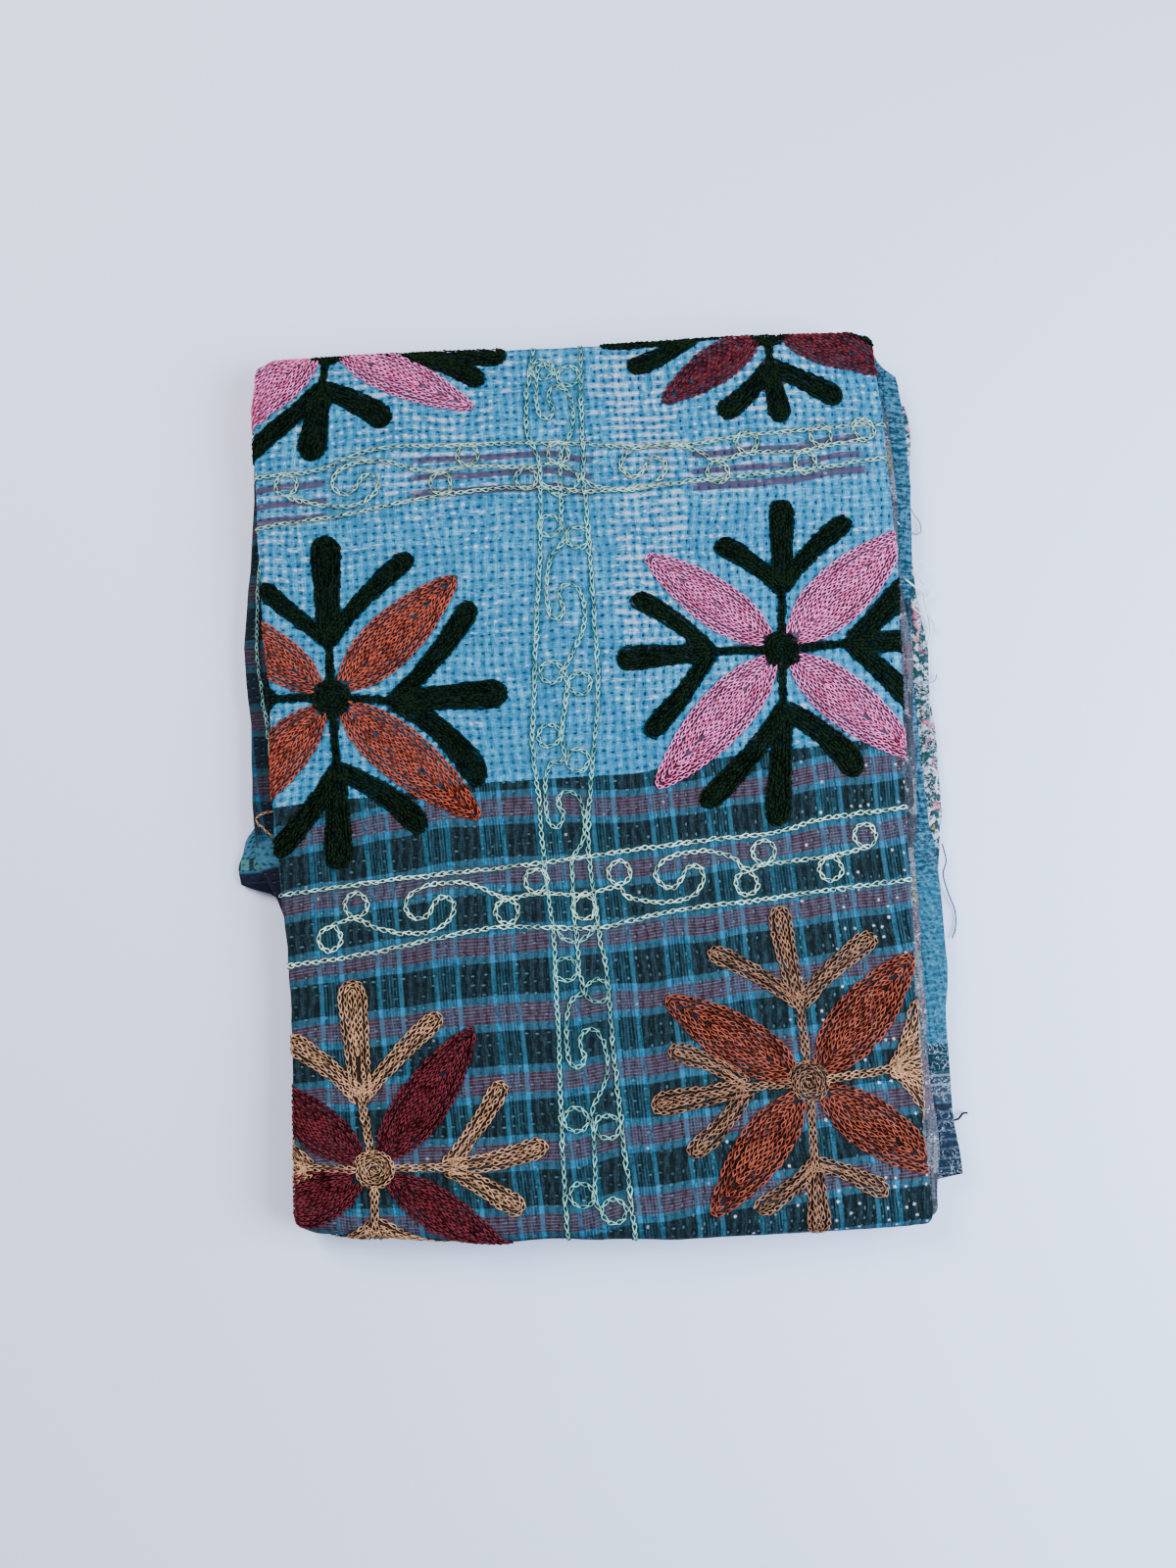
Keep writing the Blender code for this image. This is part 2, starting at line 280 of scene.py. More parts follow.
FLOWERS = {
    "west": Flower(
        middle=(-216, 70), petal_yarn="orange", leaf_yarn="green",
        petals=[(43, 148, 48), (-42, 163, 46), (141, 140, 40), (-133, 152, 46)],
        leaves=[
            (92, 49, [(138, 78, 17, 1), (91, 93, 27, 0), (45, 102, 19, 4)]),
            (-6, 53, [(50, 107, 20, -4), (1, 95, 26, 0), (-46, 103, 23, 8)]),
            (-87, 62, [(-128, 88, 20, 3), (-90, 83, 24, 0), (-37, 90, 21, 5)]),
            (178, 52, [(140, 80, 19, 0), (180, 90, 24, 0), (-140, 80, 19, 0)]),
        ],
    ),
    "east": Flower(
        middle=(165, 92), petal_yarn="pink", leaf_yarn="green",
        petals=[(141, 142, 43), (41, 150, 50), (-135, 160, 46), (-43, 146, 45)],
        leaves=[
            (85, 54, [(141, 69, 20, -3), (86, 79, 23, 0), (43, 86, 19, 4)]),
            (179, 60, [(141, 82, 18, -4), (-178, 80, 22, 0), (-130, 90, 19, 3)]),
            (-93, 52, [(-133, 107, 20, 4), (-97, 98, 22, 0), (-44, 84, 23, 6)]),
            (2, 60, [(42, 80, 24, 0), (0, 90, 24, 0), (-47, 86, 22, 0)]),
        ],
    ),
    "south_west": Flower(
        middle=(-189, -325), petal_yarn="dark_red", leaf_yarn="tan",
        petals=[(55, 143, 43), (-32, 126, 36), (-151, 120, 44), (141, 132, 42)],
        leaves=[
            (98, 62, [(138, 82, 20, -3), (94, 99, 25, 0), (46, 94, 18, 3)]),
            (4, 57, [(55, 84, 17, -2), (11, 82, 19, -2), (-30, 70, 19, 1)]),
            (180, 50, [(140, 70, 18, 0), (178, 80, 22, 0), (-140, 70, 18, 0)]),
            (-90, 44, [(-140, 70, 18, 0), (-92, 76, 22, 0), (-30, 84, 20, 0)]),
        ],
    ),
    "south_east": Flower(
        middle=(159, -265), petal_yarn="rust", leaf_yarn="brown",
        petals=[(147, 133, 43), (46, 134, 46), (-131, 130, 41), (-37, 124, 43)],
        leaves=[
            (92, 62, [(147, 85, 17, -3), (98, 80, 20, 2), (38, 84, 19, 3)]),
            (181, 48, [(153, 71, 17, -4), (-172, 80, 20, 0), (-136, 72, 18, 4)]),
            (-91, 62, [(-146, 60, 17, 3), (-90, 58, 20, 0), (-25, 62, 17, 3)]),
            (6, 68, [(64, 60, 14, -3), (38, 42, 17, 0), (8, 60, 19, 0), (-24, 42, 17, 0), (-55, 50, 14, 3)], "tan"),
        ],
    ),
    "north_west": Flower(
        middle=(-214, 388), petal_yarn="pink", leaf_yarn="green",
        petals=[(-146, 140, 46), (-27, 143, 38), (140, 120, 44), (40, 120, 44)],
        leaves=[
            (-98, 40, [(-142, 92, 21, 3), (-100, 67, 26, 0), (-31, 68, 24, 3)]),
            (-9, 72, [(-24, 72, 18, 2), (-3, 86, 22, 0), (36, 70, 20, 0)]),
        ],
    ),
    "north_east": Flower(
        middle=(176, 384), petal_yarn="dark_red", leaf_yarn="green",
        petals=[(-147, 118, 37), (-19, 118, 40), (140, 120, 44), (40, 120, 44)],
        leaves=[
            (-93, 36, [(-137, 64, 21, 3), (-82, 52, 21, 0), (-29, 70, 21, 2)]),
            (-177, 66, [(-156, 66, 19, 3), (178, 84, 22, 0), (140, 70, 20, 0)]),
            (2, 64, [(-20, 60, 19, 0), (4, 80, 22, 0), (40, 70, 20, 0)]),
        ],
    ),
}

# Cloth marks, in millimetres
PATCH_SEAM = [
    # a, b of the seam between the washed blue cloth above and the teal plaid below
    (-300, -24), (-208, -17), (-70, -9), (28, -8), (94, 1), (160, 6), (300, 15),
]
PLAID_RISE = [
    # a, rise of the plaid's bands at the seam, and of those near the bottom fold
    (-300, -24, -8), (-218, -14, -5), (-169, -8, -3), (-121, -2, -1), (-41, 0, 1), (24, -1, 12), (73, 3, 18),
    (121, 9, 22), (220, 20, 30), (300, 28, 37),
]
PLAID_REPEAT = (47.1, 56.3)  # across, along
PLAID_MIDDLE = (-39, -86)  # a line group and a mauve band cross here
PLAID_RISE_ROWS = (-86, -311)
PLAID_LEAN = 0.058
WASHED_RISE = [
    # a, b of the first purple stripe
    (-300, 257), (-237, 260), (-126, 277), (-23, 278), (10, 271), (96, 270), (181, 272), (233, 279), (300, 283),
]
STITCH_PITCH = (8.2, 8.1)

PURPLE_STRIPES = [
    # middle and half width in millimetres above the first, strength
    (0.0, 3.1, 1.0), (-15.6, 2.9, 1.0), (-30.2, 3.5, 1.0),
]

STRIPE_REACH = [
    # share of the way across, strength of the purple
    (0.0, 1.0), (0.11, 1.0), (0.15, 0.1), (0.25, 0.1), (0.30, 0.9), (0.34, 1.0), (0.49, 1.0), (0.53, 0.05),
    (0.655, 0.05), (0.69, 0.9), (0.72, 1.0), (0.87, 1.0), (0.93, 0.15), (1.0, 0.1),
]

WHITE_WARP = [
    # middle and half width in millimetres across, strength
    (-271.0, 1.8, 0.35), (-256.0, 1.6, 0.4), (-241.0, 1.9, 0.6), (40.0, 2.6, 0.7), (51.0, 1.8, 0.5),
    (63.0, 2.4, 0.5), (71.0, 1.8, 0.65), (79.5, 1.6, 0.5), (280.0, 5.0, 0.45),
]

WHITE_WEFT = [
    # middle and half width in millimetres above the first purple stripe, strength
    (-36.0, 1.3, 0.55), (-26.0, 1.2, 0.35), (-20.0, 1.0, 0.3), (-8.0, 2.0, 0.45), (6.0, 1.0, 0.3),
    (14.0, 1.2, 0.25),
]

PETAL_HALF = [
    # share of the length, share of the half width
    (0.00, 0.30), (0.06, 0.52), (0.15, 0.78), (0.28, 0.96), (0.42, 1.00), (0.56, 0.95), (0.70, 0.80), (0.82, 0.60),
    (0.92, 0.40), (1.00, 0.14),
]
FINGER_HALF = [
    (0.00, 0.78), (0.25, 0.78), (0.45, 0.83), (0.68, 0.95), (0.82, 1.00), (1.00, 0.92),
]

BLACK = (0.0, 0.0, 0.0)
# painted shadow: a near-black navy put in the hollow of the rolled corner
ROLL_SHADOW = (0.008, 0.009, 0.020)
LIGHT_BLUE = (0.022, 0.082, 0.135)
SCRAPS = [
    # where each frayed scrap's shade starts, from 0 to 1, and its colour
    (0.0, (0.08, 0.08, 0.10)), (0.2, (0.035, 0.04, 0.055)), (0.36, (0.13, 0.07, 0.09)),
    (0.50, (0.17, 0.15, 0.09)), (0.62, (0.015, 0.014, 0.02)), (0.78, (0.17, 0.17, 0.20)),
]
THREAD_COLOURS = {
    "pale": (0.80, 0.80, 0.84), "grey": (0.18, 0.18, 0.20), "blue": (0.035, 0.06, 0.17),
    "black": (0.01, 0.01, 0.015), "lilac": (0.30, 0.26, 0.34),
}
LAMPS = [
    # name, place, size in metres, power in watts, colour
    ("window", (-1.5, 1.5, 1.9), 1.6, 100.0, (1.0, 0.99, 0.985)),
    ("fill", (1.25, -0.3, 1.0), 1.3, 78.0, (0.64, 0.82, 1.0)),
]
ROOM_COLOUR, ROOM_STRENGTH = (0.86, 0.9, 1.0, 1.0), 0.55
CAMERA_PLACE = (-0.0128, -0.172)


def size_setting(name, description, default_mm):
    return bpy.props.FloatProperty(
        name=name, description=description, default=default_mm * MM, min=0.0, unit="LENGTH", precision=5
    )


def share_setting(name, description, default):
    return bpy.props.FloatProperty(name=name, description=description, default=default, min=0.0, max=2.0)


def angle_setting(name, description, degrees):
    return bpy.props.FloatProperty(
        name=name, description=description, default=math.radians(degrees), subtype="ANGLE", unit="ROTATION"
    )


def linear(*shades):
    """An sRGB colour from 0 to 255 as Blender's linear one."""
    parts = [shade / 255 for shade in shades]
    return tuple(p / 12.92 if p <= 0.04045 else ((p + 0.055) / 1.055) ** 2.4 for p in parts)


def colour_setting(name, description, shades):
    return bpy.props.FloatVectorProperty(
        name=name, description=description, default=linear(*shades), size=3, min=0.0, max=1.0, subtype="COLOR"
    )


class QuiltClothSettings(bpy.types.PropertyGroup):
    """Sizes and colours of the patchwork cloth."""

    top_cell: size_setting("Top cell", "Size of the mesh cells on the panel that lies on top", 4.6)
    under_cell: size_setting("Under cell", "Size of the mesh cells on the panels below", 17.0)
    pucker: size_setting("Pucker", "Height of the small uneven puckers", 0.35)
    relief: share_setting("Relief", "How deep the stitched ridges and wrinkles look", 1.0)
    washed_blue: colour_setting("Washed blue", "Light cotton above the seam", (34, 104, 140))
    # painted highlight for the raised ridges and wrinkles, partly also rubbed wear
    washed_rub_and_highlight: colour_setting("Washed light", "Its rubbed ridges", (92, 168, 198))
    puff_white: colour_setting("Worn white", "Worn puffs of the light cotton", (196, 196, 214))
    # the sunken stitches: dark blue thread, darkened further as painted shade in their holes
    dash_blue: colour_setting("Dash blue", "Sunken running stitches of the light cotton", (8, 28, 62))
    stripe_purple: colour_setting("Stripe purple", "Woven stripes of the light cotton", (66, 50, 70))
    plaid_dark: colour_setting("Plaid dark", "Ground of the plaid", (11, 22, 24))
    plaid_blue: colour_setting("Plaid blue", "Light stripes of the plaid", (32, 76, 94))
    plaid_cross: colour_setting("Plaid crossing", "Where a stripe crosses a teal band", (22, 110, 150))
    plaid_pale: colour_setting("Plaid pale", "Stripes over the mauve bands", (58, 80, 102))
    plaid_teal: colour_setting("Plaid teal", "Dull lines beside the mauve bands", (36, 68, 84))
    plaid_mauve: colour_setting("Plaid mauve", "Fine mauve lines of the plaid", (62, 30, 38))
    plaid_fine: colour_setting("Plaid fine lines", "Thin light lines of the mauve bands", (72, 86, 106))
    hem_blue: colour_setting("Hem blue", "Plain cotton of the middle panel's hem", (36, 92, 118))


class QuiltStitchSettings(bpy.types.PropertyGroup):
    """Sizes and yarns of the embroidery."""

    stitch_size: share_setting("Stitch size", "Size of every chain stitch, as a share of its own", 1.0)
    disc_radius: size_setting("Disc radius", "From the middle of a flower to its disc's edge", 16)
    ring_radius: size_setting("Ring radius", "Radius of the borders' small rings", 9.5)
    orange: colour_setting("Orange", "Petals", (138, 46, 14))
    rust: colour_setting("Rust", "Petals by the free end", (122, 46, 22))
    pink: colour_setting("Pink", "Petals", (255, 92, 142))
    dark_red: colour_setting("Dark red", "Petals", (78, 6, 17))
    green: colour_setting("Dark green", "Leaves", (9, 22, 10))
    tan: colour_setting("Tan", "Leaves", (150, 106, 74))
    ochre: colour_setting("Ochre", "Chains beside the left fold", (150, 112, 84))
    brown: colour_setting("Brown", "Leaves", (120, 80, 56))
    sage: colour_setting("Sage", "Border across the plaid", (158, 180, 162))
    moss: colour_setting("Moss", "Border across the washed cotton", (132, 154, 136))
    aqua: colour_setting("Aqua", "Border along the cloth", (106, 150, 142))


class QuiltStageSettings(bpy.types.PropertyGroup):
    """The floor, the light and the camera."""

    floor_colour: colour_setting("Floor", "Plain pale floor", (223, 227, 252))
    lens: bpy.props.FloatProperty(name="Lens", description="Focal length", default=27.05, unit="CAMERA")
    camera_height: bpy.props.FloatProperty(
        name="Camera height", description="Above the floor", default=0.9998, unit="LENGTH"
    )
    camera_tilt: angle_setting("Camera tilt", "Away from straight down", 9.25)
    camera_turn: angle_setting("Camera turn", "About the upright", -3.0)


# ---------------------------------------------------------------- the fold


def smooth_step(t):
    t = np.clip(t, 0.0, 1.0)
    return t * t * (3.0 - 2.0 * t)


def read_table(table, key, column=1):
    """Reads a column, in metres, at places along the table's first column, easing between its rows."""
    rows = np.array(sorted(table), float) * MM
    place = np.clip(key, rows[0, 0], rows[-1, 0])
    row = np.clip(np.searchsorted(rows[:, 0], place, side="right") - 1, 0, len(rows) - 2)
    share = smooth_step((place - rows[row, 0]) / (rows[row + 1, 0] - rows[row, 0]))
    return rows[row, column] + (rows[row + 1, column] - rows[row, column]) * share


def panel_profile(table, y):
    return np.stack([read_table(table, y, column) for column in (1, 2, 3)])


def patchy(x, y, cell, seed):
    """Smooth noise from -1 to 1, with lumps of about the cell's size."""
    grid = np.random.default_rng(seed).random((NOISE_CELLS, NOISE_CELLS)) * 2 - 1
    across, along = np.floor(x / cell).astype(int), np.floor(y / cell).astype(int)
    right, up = smooth_step(x / cell - across), smooth_step(y / cell - along)

    def corner(dx, dy):
        return grid[(across + dx) % NOISE_CELLS, (along + dy) % NOISE_CELLS]

    low = corner(0, 0) * (1 - right) + corner(1, 0) * right
    high = corner(0, 1) * (1 - right) + corner(1, 1) * right
    return low * (1 - up) + high * up


def wander(name, x, y):
    """The unevenness that WANDER lists by this name."""
    amount, cell, seed = WANDER[name]
    return amount * patchy(x, y, cell * MM, seed)


def along_cloth(b):
    """At places along the cloth: the strip's outer face and the way it faces, each as y and z, and its profile."""
    over_top = np.clip((b - TOP_Y) / TOP_RADIUS, 0.0, math.pi)
    over_bottom = np.clip((BOTTOM_Y - b) / BOTTOM_RADIUS, 0.0, math.pi)
    past_top = np.maximum(b - TOP_Y - TOP_ARC, 0.0)
    past_bottom = np.maximum(BOTTOM_Y - b - BOTTOM_ARC, 0.0)
    out_y = np.sin(over_top) - np.sin(over_bottom)
    out_z = np.cos(over_top + over_bottom)
    y = np.clip(b, BOTTOM_Y, TOP_Y) + TOP_RADIUS * np.sin(over_top) - past_top
    y += past_bottom - BOTTOM_RADIUS * np.sin(over_bottom)
    top_side = HEIGHT - TOP_RADIUS + TOP_RADIUS * np.cos(over_top)
    bottom_side = HEIGHT - BOTTOM_RADIUS + BOTTOM_RADIUS * np.cos(over_bottom)
    z = np.where(b > 0, top_side, bottom_side)

    top = panel_profile(TOP_PANEL, np.clip(b, BOTTOM_Y, TOP_Y))
    middle = panel_profile(MIDDLE_PANEL, TOP_Y - past_top)
    lowest = panel_profile(LOWEST_PANEL, BOTTOM_Y + past_bottom)
    profile = top + (middle - top) * smooth_step(over_top / math.pi)
    profile = profile + (lowest - profile) * smooth_step(over_bottom / math.pi)
    return y, z, out_y, out_z, profile


def fold_axes(profile):
    """Where across the strip its left and right folds turn."""
    return profile[0] + LEFT_RADIUS, profile[1] - RIGHT_RADIUS


def across_cloth(a, profile, lift):
    """Where places across lie in the strip's section: x, depth below its outer face, turns of both folds."""
    left, right = fold_axes(profile)
    round_left = np.clip((left - a) / LEFT_RADIUS, 0.0, math.pi)
    round_right = np.clip((a - right) / RIGHT_RADIUS, 0.0, math.pi)
    past_left = np.maximum(left - a - LEFT_ARC, 0.0)
    past_right = np.maximum(a - right - RIGHT_ARC, 0.0)
    x = np.clip(a, left, right) + past_left - past_right
    x += (RIGHT_RADIUS + lift) * np.sin(round_right) - (LEFT_RADIUS + lift) * np.sin(round_left)
    left_depth = LEFT_RADIUS - (LEFT_RADIUS + lift) * np.cos(round_left)
    right_depth = RIGHT_RADIUS - (RIGHT_RADIUS + lift) * np.cos(round_right)
    return x, np.where(a < 0, left_depth, right_depth), round_left, round_right


def swell(x, y):
    """How much the stack's height grows or shrinks at a place. The bottom stays level."""
    share = np.ones_like(x)
    for swell_x, swell_y, reach, lift in SWELLS:
        distance = np.hypot(x / MM - swell_x, y / MM - swell_y)
        share += lift * np.exp(-0.5 * (distance / reach) ** 2)
    for x0, y0, x1, y1, reach, height in CREASES:
        run = np.array([x1 - x0, y1 - y0])
        length = np.hypot(*run)
        along = np.clip(((x / MM - x0) * run[0] + (y / MM - y0) * run[1]) / length**2, 0.0, 1.0)
        distance = np.hypot(x / MM - x0 - along * run[0], y / MM - y0 - along * run[1])
        share += height * MM / HEIGHT * np.exp(-0.5 * (distance / reach) ** 2)
    left, right, _ = panel_profile(TOP_PANEL, y)
    past_edge = np.maximum(np.maximum(x - right, left - x), 0.0)
    return share * (1.0 - DROOP * smooth_step(past_edge / DROOP_REACH))


def bent_to_fold_lines(x, y):
    near_top = smooth_step(1.0 - (TOP_EDGE - y) / FOLD_LINE_REACH)
    near_bottom = smooth_step(1.0 - (y - BOTTOM_EDGE) / FOLD_LINE_REACH)
    y = y - near_top * read_table(TOP_FOLD_LINE, x)
    return y + near_bottom * read_table(BOTTOM_FOLD_LINE, x)


def lay(a, b, lift=0.0):
    """The place in the folded quilt of flat places (a, b), lifted off the cloth's right side."""
    a, b, lift = np.broadcast_arrays(np.asarray(a, float), np.asarray(b, float), np.asarray(lift, float))
    y, z, out_y, out_z, profile = along_cloth(b)
    x, depth, _, _ = across_cloth(a, profile, lift)
    y, z = y - depth * out_y, z - depth * out_z
    z = z * swell(x, y)
    return np.stack([x, bent_to_fold_lines(x, y), z], axis=-1)


def faces_out(a, b):
    """1 where the cloth's right side faces up, 0 on an upright fold and -1 where it faces down."""
    _, _, _, out_z, profile = along_cloth(b)
    _, _, round_left, round_right = across_cloth(a, profile, 0.0)
    return out_z * np.cos(round_left) * np.cos(round_right)


def flat_under(x, y):
    """The flat place of what shows past the left fold at (x, y): the middle panel's, or the lowest one's."""
    in_middle = y > -58 * MM
    past_top = TOP_Y + TOP_ARC + (TOP_Y - y)
    past_bottom = BOTTOM_Y - BOTTOM_ARC - (y - BOTTOM_Y)
    b = np.where(in_middle, past_top, past_bottom)
    *_, profile = along_cloth(b)
    left, _ = fold_axes(profile)
    return np.column_stack([left - LEFT_ARC - np.maximum(x - left, -1.0 * MM), b])


# ---------------------------------------------------------------- the cloth's marks


def plaid_marks(a, b):
    """Repeats across and along the plaid, and the height above the seam."""
    upper, lower = read_table(PLAID_RISE, a, 1), read_table(PLAID_RISE, a, 2)
    top_row, bottom_row = PLAID_RISE_ROWS
    share = np.clip((b / MM - top_row) / (bottom_row - top_row), -1.0, 1.5)
    rise = upper + (lower - upper) * share + MM * wander("plaid_rise", a, b)
    across = a + PLAID_LEAN * (b + 50 * MM) + MM * wander("plaid_across", a, b)
    u = (across / MM - PLAID_MIDDLE[0]) / PLAID_REPEAT[0]
    v = ((b - rise) / MM - PLAID_MIDDLE[1]) / PLAID_REPEAT[1]
    return np.stack([u, v, (b - read_table(PATCH_SEAM, a)) / MM], axis=-1)


def washed_marks(a, b, inside):
    """Millimetres across the washed cotton, above its first purple stripe and inside the embroidery."""
    across = a / MM + wander("washed_across", a, b)
    above = (b - read_table(WASHED_RISE, a)) / MM + wander("washed_above", a, b)
    return np.stack([across, above, inside], axis=-1)


def ground_marks(a, b, sizes):
    """The yarn that is nearest to each place, and how many millimetres inside its shape the place lies. They set
    the painted shade under the embroidery.
    """
    inside = np.full(a.shape, -1.0)
    ground = np.zeros((len(a), 3))

    def cover(deep, yarn):
        deep = deep * 3.0 if yarn == "green" else np.minimum(deep, SEEN_THROUGH * MM)
        nearer = deep > inside
        inside[nearer] = deep[nearer]
        ground[nearer] = tuple(getattr(sizes, yarn))

    for patch in flower_patches(sizes):
        cover(patch.inside(a, b), patch.yarn)
    for flower in FLOWERS.values():
        from_a, from_b = a - flower.middle[0] * MM, b - flower.middle[1] * MM
        cover(sizes.disc_radius - np.hypot(from_a, from_b), flower.leaf_yarn)
        for direction, stem, _, yarn in flower.each_leaf():
            way_a, way_b = way_of(direction)
            along, across = from_a * way_a + from_b * way_b, from_b * way_a - from_a * way_b
            past = np.maximum(np.maximum(-along, along - stem), 0.0)
            cover(STEM_HALF - np.abs(across) - past, yarn)
    return ground, np.clip(inside / MM, -20.0, 40.0)


def stitch_marks(a, b):
    """Running stitches across and along. The rows wander as hand stitching does."""
    u = a / MM / STITCH_PITCH[0] + wander("stitch_u", a, b) + wander("small_u", a, b)
    v = b / MM / STITCH_PITCH[1] + wander("stitch_v", a, b) + wander("small_v", a, b)
    turned = smooth_step((a / MM - 20) / 60 + wander("turned", a, b))
    return np.stack([u, v, turned], axis=-1)


# ---------------------------------------------------------------- materials


def operation(name):
    """A method of Value that makes the math node of this name."""
    return lambda first, *others: first.graph.node("Math", (first, *others), operation=name)


class Value:
    """A node's output, which takes part in sums like a number."""

    __add__ = __radd__ = operation("ADD")
    __sub__ = operation("SUBTRACT")
    __mul__ = __rmul__ = operation("MULTIPLY")
    __truediv__ = operation("DIVIDE")
    __pow__ = operation("POWER")
    __abs__ = operation("ABSOLUTE")
    root = operation("SQRT")
    most = operation("MAXIMUM")
    floor = operation("FLOOR")
    fract = operation("FRACT")
    rounded = operation("ROUND")
    pingpong = operation("PINGPONG")

    def __init__(self, graph, socket):
        self.graph, self.socket = graph, socket

    def step(self, low, high, start=0.0, end=1.0):
        """Eases from start to end as the value goes from low to high."""
        return self.graph.node("MapRange", (self, low, high, start, end), interpolation_type="SMOOTHSTEP")


class Graph:
    """Builds a material's nodes. Any input takes a number, a colour or another node's output."""

    def __init__(self, name):
        self.material = bpy.data.materials.new(name)
        self.material.use_nodes = True
        self.nodes = self.material.node_tree.nodes
        self.shader = self.nodes["Principled BSDF"]
        self.place = self.node("TexCoord", output="Object")

    def feed(self, socket, value):
        if isinstance(value, Value):
            self.material.node_tree.links.new(value.socket, socket)
        else:
            socket.default_value = (*value, 1.0) if socket.type == "RGBA" else value

    def node(self, kind, inputs=(), output=0, **settings):
        """A new shader node's output. Its inputs come in their order, or in a dict by number or name."""
        node = self.nodes.new("ShaderNode" + kind)
        for name, value in settings.items():
            setattr(node, name, value)
        for key, value in inputs.items() if isinstance(inputs, dict) else enumerate(inputs):
            self.feed(node.inputs[key], value)
        return Value(self, node.outputs[output])

    def mix(self, share, first, second):
        return self.node("Mix", {0: share, 6: first, 7: second}, 2, data_type="RGBA")

    def layers(self, colour, *covers):
        """A colour with others laid over it in turn, each given as its share and colour."""
        for share, cover in covers:
            colour = self.mix(share, colour, cover)
        return colour

    def ramp(self, value, stops, interpolation="LINEAR"):
        """Stops are (place, shade), with a shade from 0 to 1 or a colour."""
        ramp = self.node("ValToRGB", (value,))
        colours = ramp.socket.node.color_ramp
        colours.interpolation = interpolation
        while len(colours.elements) < len(stops):
            colours.elements.new(0.5)
        for element, (place, shade) in zip(colours.elements, stops):
            element.position = place
            element.color = (shade, shade, shade, 1.0) if isinstance(shade, float) else (*shade, 1.0)
        return ramp

    def split(self, vector):
        return [Value(self, part) for part in self.node("SeparateXYZ", (vector,)).socket.node.outputs]

    def attribute(self, name):
        return self.node("Attribute", output="Vector", attribute_name=name)

    def marks(self, name):
        return self.split(self.attribute(name))

    def noise(self, scale, detail=2.0, roughness=0.5, vector=None):
        inputs = {"Vector": vector or self.place, "Scale": scale, "Detail": detail, "Roughness": roughness}
        return self.node("TexNoise", inputs, "Fac")

    def grain(self, u, v, seed, detail=2.0, roughness=0.6):
        """Noise over two values, such as stitch rows that are stretched one way."""
        return self.noise(1.0, detail, roughness, self.node("CombineXYZ", (u, v, seed)))

    def scattered(self, u, v, seed, jitter_u, jitter_v):
        """How far places lie from a point near the middle of their cell, and three numbers of that cell."""
        cell = self.node("CombineXYZ", (u.floor(), v.floor(), seed))
        numbers = self.split(self.node("TexWhiteNoise", {"Vector": cell}, "Color", noise_dimensions="3D"))
        from_u = u.fract() - 0.5 + (numbers[0] - 0.5) * jitter_u
        from_v = v.fract() - 0.5 + (numbers[1] - 0.5) * jitter_v
        return from_u, from_v, numbers

    def finish(self, colour, roughness, height_mm=None, specular=0.08):
        """Feeds the shader, with any relief in millimetres, and gives the material."""
        inputs = {"Base Color": colour, "Roughness": roughness, "Specular IOR Level": specular}
        if height_mm is not None:
            inputs["Normal"] = self.node("Bump", {"Strength": 1.0, "Distance": MM, "Height": height_mm})
        for name, value in inputs.items():
            self.feed(self.shader.inputs[name], value)
        return self.material


class Cotton(Graph):
    """A cotton's nodes, with the marks of the folded cloth that its prints and stitches read."""

    def __init__(self, name, cloth):
        super().__init__(name)
        self.cloth = cloth
        self.stitch_u, self.stitch_v, self.turned = self.marks("stitches")
        _, self.across, self.along = self.marks("hem_place")
        self.fine = self.noise(900.0, 3.0, 0.7)
        self.ruche = self.grain(self.across * 0.09, self.along * 0.30, 4.0)

    def running_stitches(self, length, thickness, pitch=1.0):
        """The dashes, how far the cloth is pulled down, the ways to a stitch and its cell's numbers."""
        u, v = self.stitch_u * (1.0 / pitch), self.stitch_v * (1.0 / pitch)
        from_u, from_v, numbers = self.scattered(u, v, 0.0, 0.34, 0.26)
        side_u, side_v = abs(from_u), abs(from_v)
        along = side_u + self.turned * (side_v - side_u)
        athwart = side_v + self.turned * (side_u - side_v)
        near_end = along / ((numbers[2] * 0.5 + 0.8) * length)
        reach = (near_end**3.0 + (athwart / thickness) ** 3.0) ** (1 / 3)
        pull = far(along * 0.8, athwart).step(0.36, 0.02)
        return reach.step(1.25, 0.7), pull, side_u, side_v, numbers

    def squiggles(self, scale, share):
        """Loose pale threads that wander over frayed cloth."""
        wander = self.noise(scale, 2.0, 0.55)
        kept = self.noise(scale * 0.4, 1.0).step(1.0 - share, 1.08 - share)
        return abs(wander - 0.5).step(0.022, 0.008) * kept


def far(first, second):
    return (first**2.0 + second**2.0).root()


def shaded(colour, factor, lift=0.0):
    return tuple(part * factor + lift for part in colour)


def lines_at(value, lines, soft):
    """Soft-edged lines, each given as its middle, half width and strength."""
    drawn = [
        abs(value - middle).step(half + soft, half - soft) * strength
        for middle, half, strength in lines
    ]
    return reduce(Value.most, drawn)


